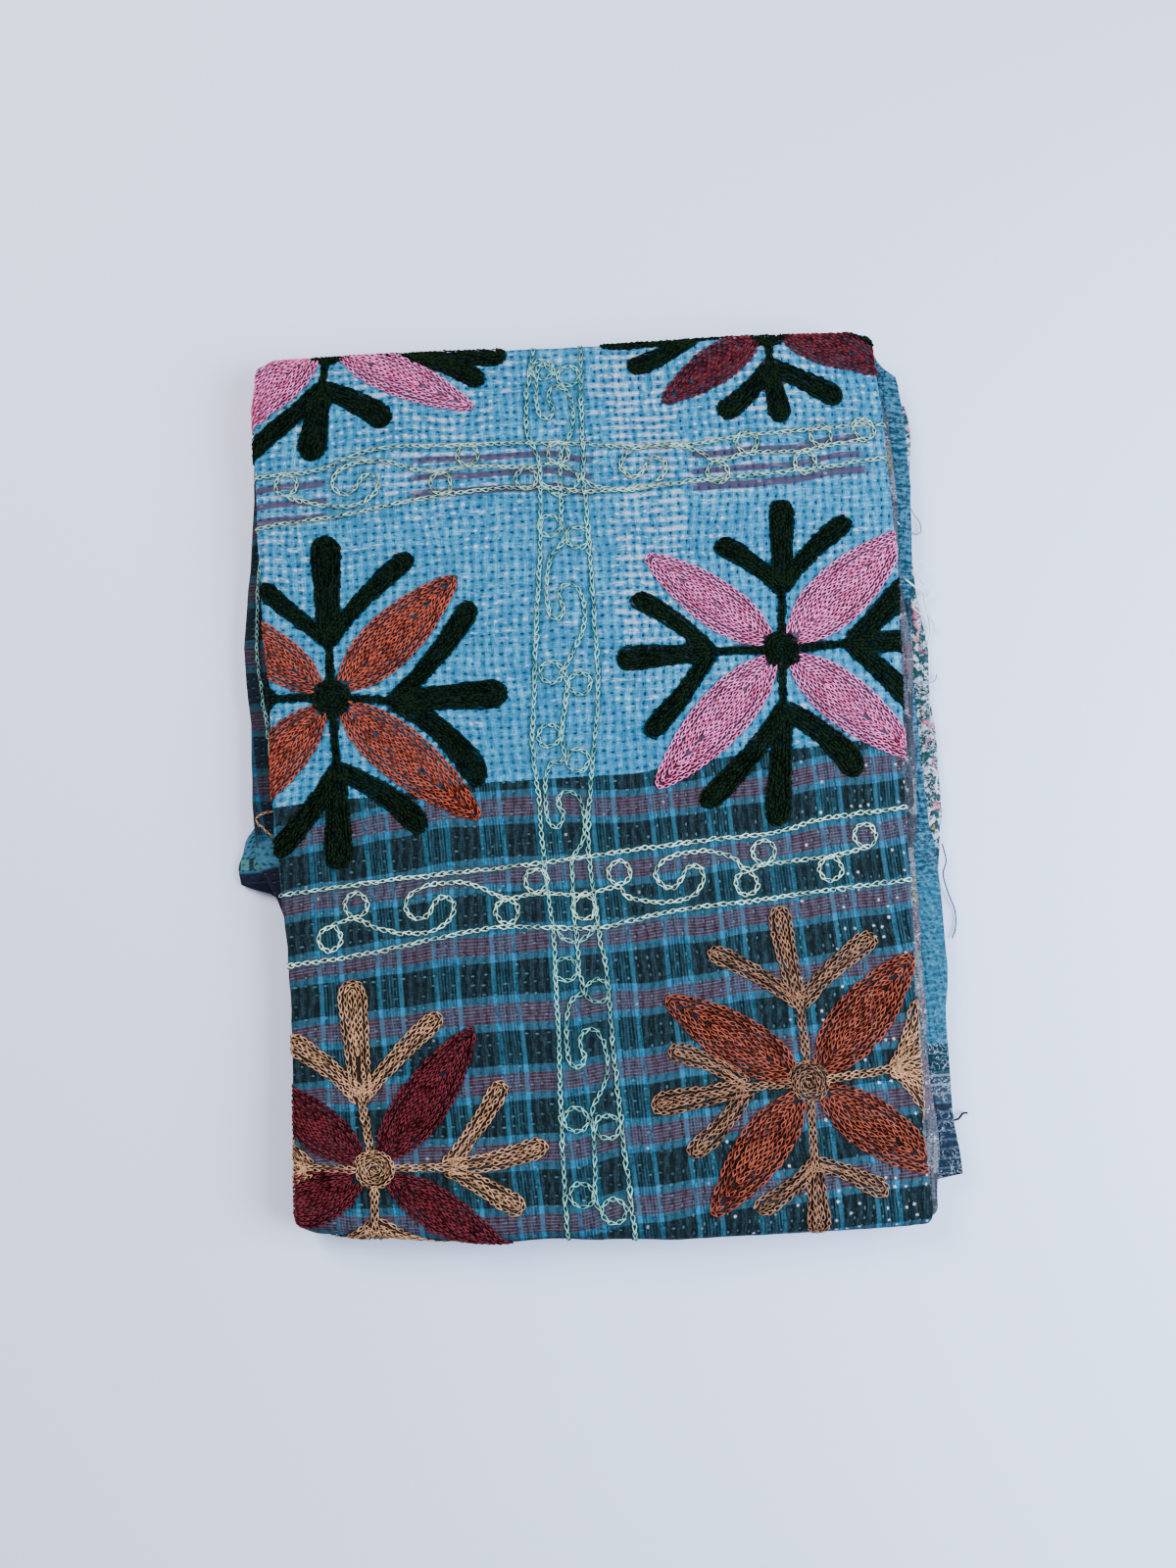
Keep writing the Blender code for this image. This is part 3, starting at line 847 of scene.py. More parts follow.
def plaid_colour(graph, u, v):
    """The teal plaid: mauve bands with thin light lines between dull teal ones, and light stripes up it."""
    cloth, rub = graph.cloth, graph.fine * 0.7 + 0.6
    side_u, side_v = abs(u - u.rounded()), abs(v - v.rounded())
    in_band, in_group = side_v.step(0.146, 0.136), side_u.step(0.134, 0.126)
    teal = side_v.step(0.136, 0.146) * side_v.step(0.262, 0.248)
    stripe = side_u.step(0.144, 0.154) * side_u.step(0.234, 0.222)
    worn_row = graph.grain(u * 2.6, v * 42.0, 6.0, roughness=0.5).step(0.32, 0.62, 0.25, 0.90)
    worn_column = graph.grain(u * 38.0, v * 2.2, 9.0, roughness=0.5).step(0.32, 0.62, 0.20, 1.0)
    thin_row = in_band * side_v.pingpong(0.0235).step(0.0110, 0.0045) * rub * worn_row
    thin_column = in_group * side_u.pingpong(0.0275).step(0.0125, 0.0050) * worn_column
    weft = graph.layers(
        cloth.plaid_dark,
        (teal * rub, cloth.plaid_teal),
        (in_band * 0.9, cloth.plaid_mauve),
        (thin_row, cloth.plaid_fine),
    )
    upright = graph.layers(cloth.plaid_blue, (teal, cloth.plaid_cross), (in_band * 0.8, cloth.plaid_pale))
    return graph.mix((stripe * 0.9).most(thin_column * 0.85) * rub, weft, upright)


def patchwork_material(cloth):
    """The quilt's right side: washed blue cotton above the seam and teal plaid below it."""
    graph = Cotton("patchwork_cotton", cloth)
    fine, stitch_u, stitch_v = graph.fine, graph.stitch_u, graph.stitch_v
    u, v, above_seam = graph.marks("plaid")
    across, above_stripe, inside = graph.marks("washed")
    soft = graph.noise(55.0, 3.0, 0.6)
    wrinkle = graph.grain(stitch_u * 1.1, stitch_v * 4.6, 0.0, 3.0, 0.65)
    strands = graph.grain(stitch_u * 1.6, stitch_v * 9.0, 8.0)
    upright = graph.grain(stitch_u * 7.0, stitch_v * 0.9, 5.0)
    dash, pull, side_u, side_v, stitch = graph.running_stitches(0.155, 0.092)
    ragged = (graph.noise(420.0) - 0.5) * 2.4
    washed = (above_seam + ragged).step(-0.35, 0.35)
    # ridge and column_ridge are 1 between the rows and columns of stitches: they lighten those ridges as painted
    # highlight, and ridge also places the worn streaks
    ridge = stitch_v.pingpong(0.5).step(0.36, 0.10)
    column_ridge = stitch_u.pingpong(0.5).step(0.40, 0.12)

    # Washed blue cotton: soft ridges between rows of stitches, lit and shaded copies of the blue as painted
    # highlight and painted shade over its weave noise and ridges, woven white and purple lines
    weave_and_relief_shade = soft * 0.4 + wrinkle * 0.5 + strands * 0.3 + upright * 0.5 + fine * 0.3
    weave_and_relief_shade = weave_and_relief_shade + ridge * 0.04 + column_ridge * 0.08
    high_fade = (above_seam + soft * 60.0).step(90.0, 230.0, 0.12, 1.0)
    weft_lines = lines_at(above_stripe, WHITE_WEFT, 0.6)
    white_lines = (lines_at(across, WHITE_WARP, 1.0) * high_fade).most(weft_lines)
    stripe_reach = graph.ramp((across + 300.0) / 600.0, STRIPE_REACH) + (fine + soft - 1.0) * 0.6
    stripes = lines_at(above_stripe, PURPLE_STRIPES, 0.5) * stripe_reach.step(0.15, 0.48)

    # Worn white: ragged streaks on some ridges and single puffs between the stitches
    by_warp = abs(across - 60.0).step(42.0, 20.0) * high_fade
    bare = above_seam.step(120.0, 320.0, 0.0, 0.08) + weft_lines.most(by_warp) * 0.20
    bare = (graph.noise(9.0, 1.0) - 0.5) * 0.5 + bare
    column, row = stitch_u + 0.5, stitch_v + 0.5
    streak = graph.grain(stitch_u * 0.7, row.floor() * 3.7, 2.0, 1.0, 0.5)
    streak = streak + (wrinkle - 0.5) * 0.9 + (strands - 0.5) * 0.5 + bare * 0.9
    puff_u, puff_v, puff = graph.scattered(column, row, 3.0, 0.3, 0.3)
    puff_far = far(puff_u * 0.8, puff_v) + (wrinkle - 0.5) * 0.5 + (fine - 0.5) * 0.45
    puffs = puff_far.step(0.20, 0.06) * (puff[2] + bare * 2.2).step(0.80, 1.02)
    worn = (streak.step(0.66, 0.78) * ridge * 0.5).most(puffs * 0.8)
    worn = worn * (fine * 0.8 + 0.5) * (stripes * -0.7 + 1.0)
    # painted shade: a darker copy of the blue, for the low parts and the hollows round the stitches
    shade_blue = shaded(cloth.washed_blue, 0.55)
    blue = graph.layers(
        shade_blue,
        (weave_and_relief_shade.step(0.80, 1.06), cloth.washed_blue),
        (weave_and_relief_shade.step(1.02, 1.30, 0.0, 0.85), cloth.washed_rub_and_highlight),
        (white_lines * weave_and_relief_shade.step(1.0, 1.40, 0.0, 0.9), cloth.puff_white),
        (stripes * 0.93, cloth.stripe_purple),
        # painted shade in the hollows that the stitches pull down
        (pull * 0.12, shade_blue),
        (worn, cloth.puff_white),
        # the stitches' dark blue, partly thread and partly painted shade in their holes
        (dash * (stitch[2] * 0.38 + 0.62), cloth.dash_blue),
    )

    # Teal plaid: upright ribs with their slub and painted light and shade, thin stitches that hardly show, painted
    # shade round them, and white specks towards its right side
    slub_and_rib_shade = upright * 0.7 + strands * 0.3 + fine * 0.5 + column_ridge * 0.12
    edge_wear = (across + above_seam * -0.3).step(130.0, 400.0, 0.0, 0.40)
    speck_u, speck_v, speck = graph.scattered(column, row, 7.0, -0.333, -0.333)
    speck_far = far(speck_u, speck_v) + (fine - 0.5) * 0.3 + (upright - 0.5) * 0.3
    specks = speck_far.step(0.18, 0.05) * (speck[2] + edge_wear).step(0.97, 1.03)
    teal = graph.layers(
        plaid_colour(graph, u, v),
        (slub_and_rib_shade.step(0.74, 1.05, 0.0, 0.30), shaded(cloth.plaid_teal, 1.3, 0.02)),
        (slub_and_rib_shade.step(0.86, 0.60, 0.0, 0.62), shaded(cloth.plaid_dark, 0.3)),
        (dash * stitch[0].step(0.3, 0.5) * (stitch[1] * 0.4 + 0.12), (0.10, 0.22, 0.28)),
        (specks * 0.8, (0.62, 0.64, 0.72)),
        # painted shade in the hollows round the stitches
        (pull * 0.15, shaded(cloth.plaid_dark, 0.4)),
    )
    # painted shade on the cotton along the border chains' rows
    beside = graph.marks("beside")[0]
    colour = graph.layers(teal, (washed, blue), (beside.step(6.5, 1.0, 0.0, 0.42), (0.012, 0.05, 0.07)))

    # Under the embroidery, painted shade: the cloth in shade near a shape's edge, and its yarn, darkened to deep
    # shade, further in
    under = graph.mix(
        inside.step(1.5, 11.0, 0.15, 0.85),
        graph.mix(0.74, colour, BLACK),
        graph.mix(0.85, graph.attribute("ground"), BLACK),
    )
    colour = graph.mix(inside.step(0.3, 1.6) * 0.99, colour, under)

    waffle = pull * -0.8 + side_v.step(0.32, 0.0) * -0.4 + side_u.step(0.26, 0.0) * -0.4
    waffle = waffle + wrinkle * 0.8 + strands * 0.35 + upright * 0.4
    height = waffle * (washed * 0.25 + 0.75) * cloth.relief + graph.noise(240.0, 3.0, 0.6) * 0.4
    height = height + fine * 0.12 + washed * 0.55 + above_seam.step(6.0, 0.0) * washed * 0.35 + worn * 0.15
    return graph.finish(colour, fine * 0.1 + 0.86, height)


def under_plaid(graph, _):
    """The middle panel past the left fold: the same plaid, duller and darkened by painted shade, with a rolled blue
    lip and painted shadow, navy black, inside the roll below it.
    """
    u, v, _ = graph.marks("plaid")
    x, y = [metres * 1000.0 for metres in graph.split(graph.place)[:2]]
    above_end = y.step(-116.0, -108.0)
    return graph.layers(
        plaid_colour(graph, u + 0.3, v),
        # painted shade: the whole plaid darkened by half
        (0.5, (0.006, 0.010, 0.018)),
        (
            (y + x * -0.5 - 135.0).step(-41.0, -45.0) * above_end,
            graph.mix(graph.fine, (0.020, 0.075, 0.125), (0.050, 0.155, 0.230)),
        ),
        # painted shadow inside the roll below the lip
        ((y + x * -0.2 - 53.0).step(-66.0, -70.0) * above_end, ROLL_SHADOW),
    )


def hem_pieces(graph, _):
    """The middle panel's hem: ruched plain blue with painted shade in the ruche's troughs and painted highlight on
    its crests, a teal piece, then grey and navy plaids by the free end.
    """
    along, ruche, blue = graph.along, graph.ruche, graph.cloth.hem_blue
    cross = along.pingpong(3.6).step(0.4, 1.3)
    patch = (along + ruche * 22.0).step(-76.0, -79.0) * (along + ruche * -22.0).step(-102.0, -99.0)
    patch = patch * graph.across.step(280.0, 282.0)
    teal = along.step(108.0, 111.0) * along.step(136.0, 133.0)
    teal = teal.most(along.step(-264.0, -262.5) * along.step(-241.0, -243.0))
    grey = along.step(-262.5, -264.0) * along.step(-290.0, -286.0)
    threads = graph.squiggles(210.0, 0.62) * along.step(-232.0, -244.0, 0.22, 0.85)
    return graph.layers(
        # painted shade in the ruche's troughs and painted highlight on its crests
        shaded(blue, 0.3),
        (ruche.step(0.42, 0.60), shaded(blue, 1.15, 0.012)),
        (along.step(-95.0, -115.0) * 0.45, (0.015, 0.12, 0.19)),
        (patch * 0.9, (0.006, 0.008, 0.012)),
        (teal * 0.88, shaded(graph.cloth.plaid_dark, 1.1)),
        (grey, graph.mix(cross, (0.13, 0.15, 0.18), (0.022, 0.035, 0.05))),
        (along.step(-286.0, -289.0), graph.mix(cross, (0.035, 0.05, 0.08), (0.009, 0.014, 0.025))),
        (threads * 0.8, (0.42, 0.46, 0.54)),
    )


def white_print(graph, colour):
    """The lowest panel's hem: a frayed white print, thick with dark green, pink and orange blots."""
    x, y, _ = graph.split(graph.place)
    leaves = graph.noise(150.0, 2.0, 0.6).step(0.45, 0.49)
    pinks = graph.noise(95.0, 1.0, vector=graph.node("CombineXYZ", (y, x, 3.0))).step(0.63, 0.67)
    sparks = graph.noise(120.0, 1.0, vector=graph.node("CombineXYZ", (y, x, 9.0))).step(0.69, 0.72)
    return graph.layers(
        colour,
        (leaves, (0.010, 0.045, 0.045)),
        (pinks * 0.85, (0.50, 0.10, 0.20)),
        (sparks, (0.42, 0.16, 0.05)),
        (graph.squiggles(240.0, 0.6) * 0.9, (0.62, 0.62, 0.68)),
    )


def rolled_corner(graph, colour):
    """The lowest panel's rolled corner at the left: blue, then a dark and green check, then painted shadow, navy
    black, in the roll's hollow.
    """
    squares = graph.across.pingpong(5.5).step(3.3, 3.8)
    in_check = graph.along.step(-69.5, -68.5) * graph.along.step(-59.0, -60.0)
    check = graph.mix(squares, (0.05, 0.17, 0.145), (0.012, 0.014, 0.03))
    return graph.layers(colour, (in_check * 0.9, check), (graph.along.step(-70.5, -73.0), ROLL_SHADOW))


def frayed_scraps(graph, colour):
    """The wrong side: frayed scraps of grey, pink, cream and dark cotton."""
    inputs = {"Vector": graph.place, "Scale": 42.0}
    cells = graph.node("TexVoronoi", inputs, "Color", voronoi_dimensions="3D", distance="CHEBYCHEV")
    return graph.layers(
        colour,
        (0.9, graph.ramp(graph.split(cells)[0], SCRAPS, "CONSTANT")),
        (graph.fine.step(0.40, 0.60, 0.0, 0.8), (0.012, 0.016, 0.025)),
        (graph.squiggles(200.0, 0.45) * 0.8, (0.50, 0.50, 0.53)),
    )


def plain_cotton(cloth, name, base, second, dash_colour, pitch, print_on, ruching):
    """A plainer cotton: two shades, running stitches and puckers, and what is printed or pieced on it."""
    graph = Cotton(name, cloth)
    dash, pull, side_u, _, _ = graph.running_stitches(0.2, 0.08, pitch)
    shade = (graph.noise(70.0, 3.0, 0.6) + graph.fine * 0.3).step(0.4, 0.9)
    colour = print_on(graph, graph.mix(shade, base, second))
    # painted shade in the hollows round the stitches
    colour = graph.layers(colour, (pull * 0.4, shaded(base, 0.45)), (dash, dash_colour))
    height = pull * -0.8 + side_u.step(0.22, 0.0) * -0.4 + graph.ruche * (2.2 * ruching)
    height = height + graph.noise(200.0, 3.0, 0.6) * 0.8 + graph.fine * 0.12
    return graph.finish(colour, 0.9, height)


def cotton_materials(cloth):
    """The right side's cottons, in the order of assign_patches, and then the wrong side's."""
    hem, dark = cloth.hem_blue, cloth.plaid_dark
    plainer = (
        # name, its two shades, its stitches' colour and pitch, its print and its ruching
        ("under_plaid", dark, dark, (0.02, 0.04, 0.06), 0.9, under_plaid, 1.0),
        ("blue_hem", shaded(hem, 0.75), hem, (0.012, 0.05, 0.10), 0.75, hem_pieces, 1.9),
        ("white_print", (0.30, 0.29, 0.34), (0.52, 0.52, 0.59), (0.05, 0.07, 0.09), 0.8, white_print, 1.4),
        ("light_blue", LIGHT_BLUE, (0.045, 0.15, 0.225), (0.008, 0.02, 0.05), 0.6, rolled_corner, 1.0),
        ("reverse", (0.26, 0.26, 0.3), (0.4, 0.4, 0.44), (0.03, 0.04, 0.06), 0.8, frayed_scraps, 1.4),
    )
    yield patchwork_material(cloth)
    for name, *looks in plainer:
        yield plain_cotton(cloth, name + "_cotton", *looks)


def yarn_of(yarn, sizes):
    """Twisted yarn: each stitch a little lighter or darker, with painted highlight on its tops and painted shade
    where it dips, and fine plies and fuzz.
    """
    name, colour = "yarn_" + yarn, getattr(sizes, yarn)
    if name in bpy.data.materials:
        return bpy.data.materials[name]
    graph = Graph(name)
    tone, depth, _ = graph.marks("tone")
    fuzz = graph.noise(1900.0, 3.0, 0.7)
    # painted highlight: a lighter copy of the yarn for the stitches' tops
    light = tuple(min(1.0, part * 1.9 + 0.03 * min(1.0, 8 * max(colour))) for part in colour)
    share = tone * 0.45 + fuzz * 0.35 + graph.noise(30.0) * 0.3 + depth * 0.75 - 0.60
    shade = graph.layers(
        shaded(colour, 0.26 + 0.30 * max(colour)),
        (share.step(0.05, 0.68), light),
        # painted shade: a near-black copy of the yarn low on the strands' sides
        (depth.step(0.68, 0.30, 0.0, 0.92), shaded(colour, 0.07)),
    )
    plies = fuzz * 0.22 + graph.noise(700.0) * 0.2
    return graph.finish(shade, 0.9, plies, specular=0.02)


def thread_material(name, colour):
    """A loose fine thread with a little fuzz."""
    graph = Graph(name)
    fuzz = graph.noise(1500.0)
    return graph.finish(graph.mix(fuzz, shaded(colour, 0.7), colour), 0.8, fuzz * 0.15)


# ---------------------------------------------------------------- small helpers


def deselect_all():
    if bpy.context.mode != "OBJECT":
        bpy.ops.object.mode_set(mode="OBJECT")
    bpy.ops.object.select_all(action="DESELECT")


def apply_modifiers(piece):
    deselect_all()
    piece.select_set(True)
    bpy.context.view_layer.objects.active = piece
    for modifier in list(piece.modifiers):
        bpy.ops.object.modifier_apply(modifier=modifier.name)


def mesh_piece(name, vertices, faces, material):
    """A piece from arrays or lists of places and faces."""
    mesh = bpy.data.meshes.new(name)
    mesh.from_pydata([tuple(place) for place in vertices], [], [tuple(face) for face in faces])
    mesh.materials.append(material)
    mesh.shade_smooth()
    piece = bpy.data.objects.new(name, mesh)
    bpy.context.scene.collection.objects.link(piece)
    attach(piece, "root")
    return piece


def places_of(mesh):
    places = np.empty(len(mesh.vertices) * 3)
    mesh.vertices.foreach_get("co", places)
    return places.reshape(-1, 3)


def move_to(mesh, places):
    """Moves a mesh's points, none of them below the floor."""
    places[:, 2] = np.maximum(places[:, 2], 0.0)
    mesh.vertices.foreach_set("co", places.ravel())


def mark(mesh, name, values):
    layer = mesh.attributes.new(name, "FLOAT_VECTOR", "POINT")
    layer.data.foreach_set("vector", np.asarray(values, np.float32).ravel())


def smooth_path(points, spacing):
    """An even path through given points, rounded between them."""
    points = np.asarray(points, float)
    padded = np.vstack([2 * points[0] - points[1], points, 2 * points[-1] - points[-2]])
    pieces = []
    for before, start, end, after in zip(padded, padded[1:], padded[2:], padded[3:]):
        t = np.linspace(0.0, 1.0, 16, endpoint=False)[:, None]
        bend = (2 * before - 5 * start + 4 * end - after) * t**2
        bend = bend + (3 * start - before - 3 * end + after) * t**3
        pieces.append(0.5 * (2 * start + (end - before) * t + bend))
    return even_path(np.vstack([*pieces, points[-1:]]), spacing)


def even_path(points, spacing):
    steps = np.linalg.norm(np.diff(points, axis=0), axis=1)
    travelled = np.concatenate([[0.0], np.cumsum(steps)])
    count = max(int(round(travelled[-1] / spacing)), 1)
    marks = np.linspace(0.0, travelled[-1], count + 1)
    return np.stack([np.interp(marks, travelled, column) for column in points.T], axis=1)


def tube(path, thickness, sides=TUBE_SIDES):
    """A thin closed tube round an even path: its points and its faces."""
    ahead = np.gradient(path, axis=0)
    ahead /= np.linalg.norm(ahead, axis=1, keepdims=True)
    across = np.cross(ahead, (0.0, 0.0, 1.0))
    across /= np.maximum(np.linalg.norm(across, axis=1, keepdims=True), 1e-6)
    up = np.cross(across, ahead)
    turn = np.linspace(0.0, 2 * math.pi, sides, endpoint=False)
    ring = across[:, None] * np.cos(turn)[None, :, None] + up[:, None] * np.sin(turn)[None, :, None]
    points = (path[:, None] + ring * thickness / 2).reshape(-1, 3)
    faces = []
    for low in range(0, len(points) - sides, sides):
        high = low + sides
        faces.extend((low + s, high + s, high + (s + 1) % sides, low + (s + 1) % sides) for s in range(sides))
    last = len(points) - 1
    return points, [*faces, tuple(range(sides)), tuple(range(last, last - sides, -1))]


# ---------------------------------------------------------------- the cloth


def graded(lengths, counts):
    """Runs of even steps, one after another, from 0 to the sum of their lengths."""
    marks = [0.0]
    for length, count in zip(lengths, counts):
        start = marks[-1]
        marks.extend(start + length * (step + 1) / count for step in range(count))
    return np.array(marks)


class QUILT_OT_fold_cloth(bpy.types.Operator):
    """Cuts the patchwork cloth flat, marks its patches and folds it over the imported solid"""

    bl_idname = "quilt.fold_cloth"
    bl_label = "Fold the cloth"

    def execute(self, context):
        cloth = context.scene.quilt_cloth
        along, widths = self.cut_along(cloth), self.cut_across(cloth)
        cells_across, cells_along = len(widths) - 1, len(along) - 1
        deselect_all()
        bpy.ops.mesh.primitive_grid_add(x_subdivisions=cells_across, y_subdivisions=cells_along, size=1.0)
        quilt = context.object
        quilt.name = quilt.data.name = "quilt_cloth"
        mesh = quilt.data
        flat = places_of(mesh)
        column = np.round((flat[:, 0] + 0.5) * cells_across).astype(int)
        row = np.round((flat[:, 1] + 0.5) * cells_along).astype(int)
        b = along[row]
        a = self.place_across(widths, column, b)
        pucker = cloth.pucker * (wander("pucker", a, b) + wander("small_pucker", a, b))
        places = lay(a, b, pucker - 0.4 * cloth.pucker)
        move_to(mesh, places)
        mark(mesh, "plaid", plaid_marks(a, b))
        mark(mesh, "stitches", stitch_marks(a, b))
        ground, inside = ground_marks(a, b, context.scene.quilt_stitches)
        mark(mesh, "ground", ground)
        mark(mesh, "washed", washed_marks(a, b, inside))
        mark(mesh, "beside", beside_marks(a, b, context.scene.quilt_stitches))
        mark(mesh, "hem_place", np.stack([a, places[:, 0], places[:, 1]], axis=-1) / MM)
        for material in cotton_materials(cloth):
            mesh.materials.append(material)
        self.assign_patches(mesh, a, b)
        thickness = quilt.modifiers.new("thickness", "SOLIDIFY")
        thickness.thickness, thickness.offset = LAYER, -1.0
        thickness.material_offset = thickness.material_offset_rim = len(mesh.materials)
        sheet_faces = len(mesh.polygons)
        apply_modifiers(quilt)
        quilt.data.shade_smooth()
        move_to(quilt.data, places_of(quilt.data))
        self.flatten_map(quilt.data, sheet_faces, self.spread(a, widths[column, 0]), self.spread(b, None))
        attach(quilt, "root")
        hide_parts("quilt")
        width = float(np.ptp(self.place_across(widths, np.array([0, cells_across]), np.zeros(2))))
        context.scene["quilt_flat"] = [width, float(np.ptp(along))]
        return {"FINISHED"}

    def cut_along(self, cloth):
        """Places of the rows along the cloth, from the lowest panel's end to the middle panel's."""
        near_end = LOWEST_END - ROLLED_CORNER[1]
        rolled = ROLLED_CORNER[1] - ROLLED_CORNER[0]
        lengths = [near_end, rolled, LOWEST_LENGTH - near_end - rolled, BOTTOM_ARC]
        lengths += [TOP_Y - BOTTOM_Y, TOP_ARC, CORNER_LENGTH, MIDDLE_LENGTH - CORNER_LENGTH]
        cells = [cloth.under_cell, CORNER_CELL, cloth.under_cell, BOTTOM_FOLD_CELL]
        cells += [cloth.top_cell, TOP_FOLD_CELL, CORNER_CELL, cloth.under_cell]
        marks = graded(lengths, [round(length / cell) for length, cell in zip(lengths, cells)])
        return marks + BOTTOM_Y - BOTTOM_ARC - LOWEST_LENGTH

    def cut_across(self, cloth):
        """Columns as (zone, share): hem, under layer, left fold, top layer, right fold, tucked layer."""
        counts = [6, 15, 10, round(TOP_WIDTH / cloth.top_cell), 7, 8]
        steps = [(zone, (step + 1) / count) for zone, count in enumerate(counts) for step in range(count)]
        return np.array([(0, 0.0), *steps])

    def place_across(self, widths, column, b):
        *_, profile = along_cloth(b)
        left, right = fold_axes(profile)
        hem = profile[2] + MM * wander("hem", b, b * 0)
        left_end, right_end = left - LEFT_ARC, right + RIGHT_ARC
        hem_end = left_end - (hem - left)
        tucked_end = right_end + right - profile[0] - TUCKED_HEM
        bounds = np.stack([hem_end, hem_end + HEM_ZONE, left_end, left, right, right_end, tucked_end])
        zone = widths[column, 0].astype(int)
        low = np.take_along_axis(bounds, zone[None], 0)[0]
        high = np.take_along_axis(bounds, zone[None] + 1, 0)[0]
        return low + (high - low) * widths[column, 1]

    def spread(self, places, zone):
        """Flat places as shares of a map that gives what lies on top most of its area."""
        start, end = places.min(), places.max()
        if zone is None:
            steps = [start, BOTTOM_Y - BOTTOM_ARC, TOP_Y + TOP_ARC, end]
            shares = [0.0, 0.16, 0.86, 1.0]
        else:
            inner = places[(zone == 3) | (zone == 4)]
            steps = [start, start + 50 * MM, inner.min(), inner.max(), end]
            shares = [0.0, 0.07, 0.15, 0.93, 1.0]
        return np.interp(places, steps, shares)

    def flatten_map(self, mesh, sheet_faces, u, v):
        """A map for baking: the right side over most of it, the wrong side above and the rim between."""
        layer = mesh.uv_layers[0] if mesh.uv_layers else mesh.uv_layers.new()
        layer.name = "OFBake"
        corners = np.empty(len(mesh.loops), int)
        mesh.loops.foreach_get("vertex_index", corners)
        face_of = np.repeat(np.arange(len(mesh.polygons)), 4)
        flat = np.stack([u, v], axis=-1)[corners % len(u)]
        right, wrong = face_of < sheet_faces, (face_of >= sheet_faces) & (face_of < 2 * sheet_faces)
        flat[:, 0] = 0.002 + 0.996 * flat[:, 0]
        for side, (start, height) in ((right, RIGHT_SIDE), (wrong, WRONG_SIDE)):
            flat[side, 1] = start + height * flat[side, 1]
        rim = ~(right | wrong)
        count = rim.sum() // 4
        corner = np.tile([(0.0, 0.0), (0.9, 0.0), (0.9, 1.0), (0.0, 1.0)], (count, 1))
        rim_u = (np.repeat(np.arange(count), 4) + corner[:, 0]) / count
        flat[rim] = np.stack([rim_u, RIM[0] + RIM[1] * corner[:, 1]], axis=-1)
        layer.data.foreach_set("uv", flat.astype(np.float32).ravel())

    def assign_patches(self, mesh, a, b):
        """Chooses each face's cotton, as cotton_materials numbers them, from its layer and panel."""
        corners = np.empty(len(mesh.polygons) * 4, int)
        mesh.polygons.foreach_get("vertices", corners)
        corners = corners.reshape(-1, 4)
        a, b = a[corners].mean(axis=1), b[corners].mean(axis=1)
        *_, profile = along_cloth(b)
        left, _ = fold_axes(profile)
        from_hem = a - (left - LEFT_ARC - (profile[2] - left))
        in_middle, in_lowest = b > TOP_Y + TOP_ARC * 0.55, b < BOTTOM_Y - BOTTOM_ARC * 0.8
        patch = np.zeros(len(a), int)
        patch[in_middle & (a < left - 3 * MM)] = 1
        patch[in_middle & (from_hem < HEM_DEPTH)] = 2
        patch[in_lowest & (from_hem < HEM_DEPTH)] = 3
        patch[in_lowest & (a < left + 12 * MM) & (from_hem > HEM_DEPTH)] = 4
        mesh.polygons.foreach_set("material_index", patch)


# ---------------------------------------------------------------- the embroidery


def chain_link(length, width, yarn, segments):
    """One chain stitch: a drop-shaped loop whose narrow start is lifted over the stitch before.

    Gives its points, its faces, and how high each point stands, from 0 to 1.
    """
    deselect_all()
    major, minor = segments
    bpy.ops.mesh.primitive_torus_add(
        major_segments=major,
        minor_segments=minor,
        major_radius=0.5,
        minor_radius=yarn / 2,
        location=(0, 0, 0),
    )
    link = bpy.context.object
    x, y, z = places_of(link.data).T
    turn = np.arctan2(y, x)
    ring_x, ring_y, out = np.cos(turn), np.sin(turn), np.hypot(x, y) - 0.5
    ahead = (ring_x + 1) / 2
    taper = 0.26 + 0.74 * smooth_step(ahead * 1.5)
    lifted = 1 - smooth_step(ahead * 1.6)
    shaped_x = length / 2 * (ring_x + 0.22 * ring_y**2) + out * ring_x
    shaped_y = ring_y * (width / 2 * taper + out)
    shaped = np.stack([shaped_x, shaped_y, z + yarn * (0.45 + 0.7 * lifted)], axis=1)
    height = 0.7 * (z / yarn + 0.5) + 0.3 * lifted
    faces = np.array([tuple(polygon.vertices) for polygon in link.data.polygons])
    bpy.data.objects.remove(link, do_unlink=True)
    return shaped, faces, height


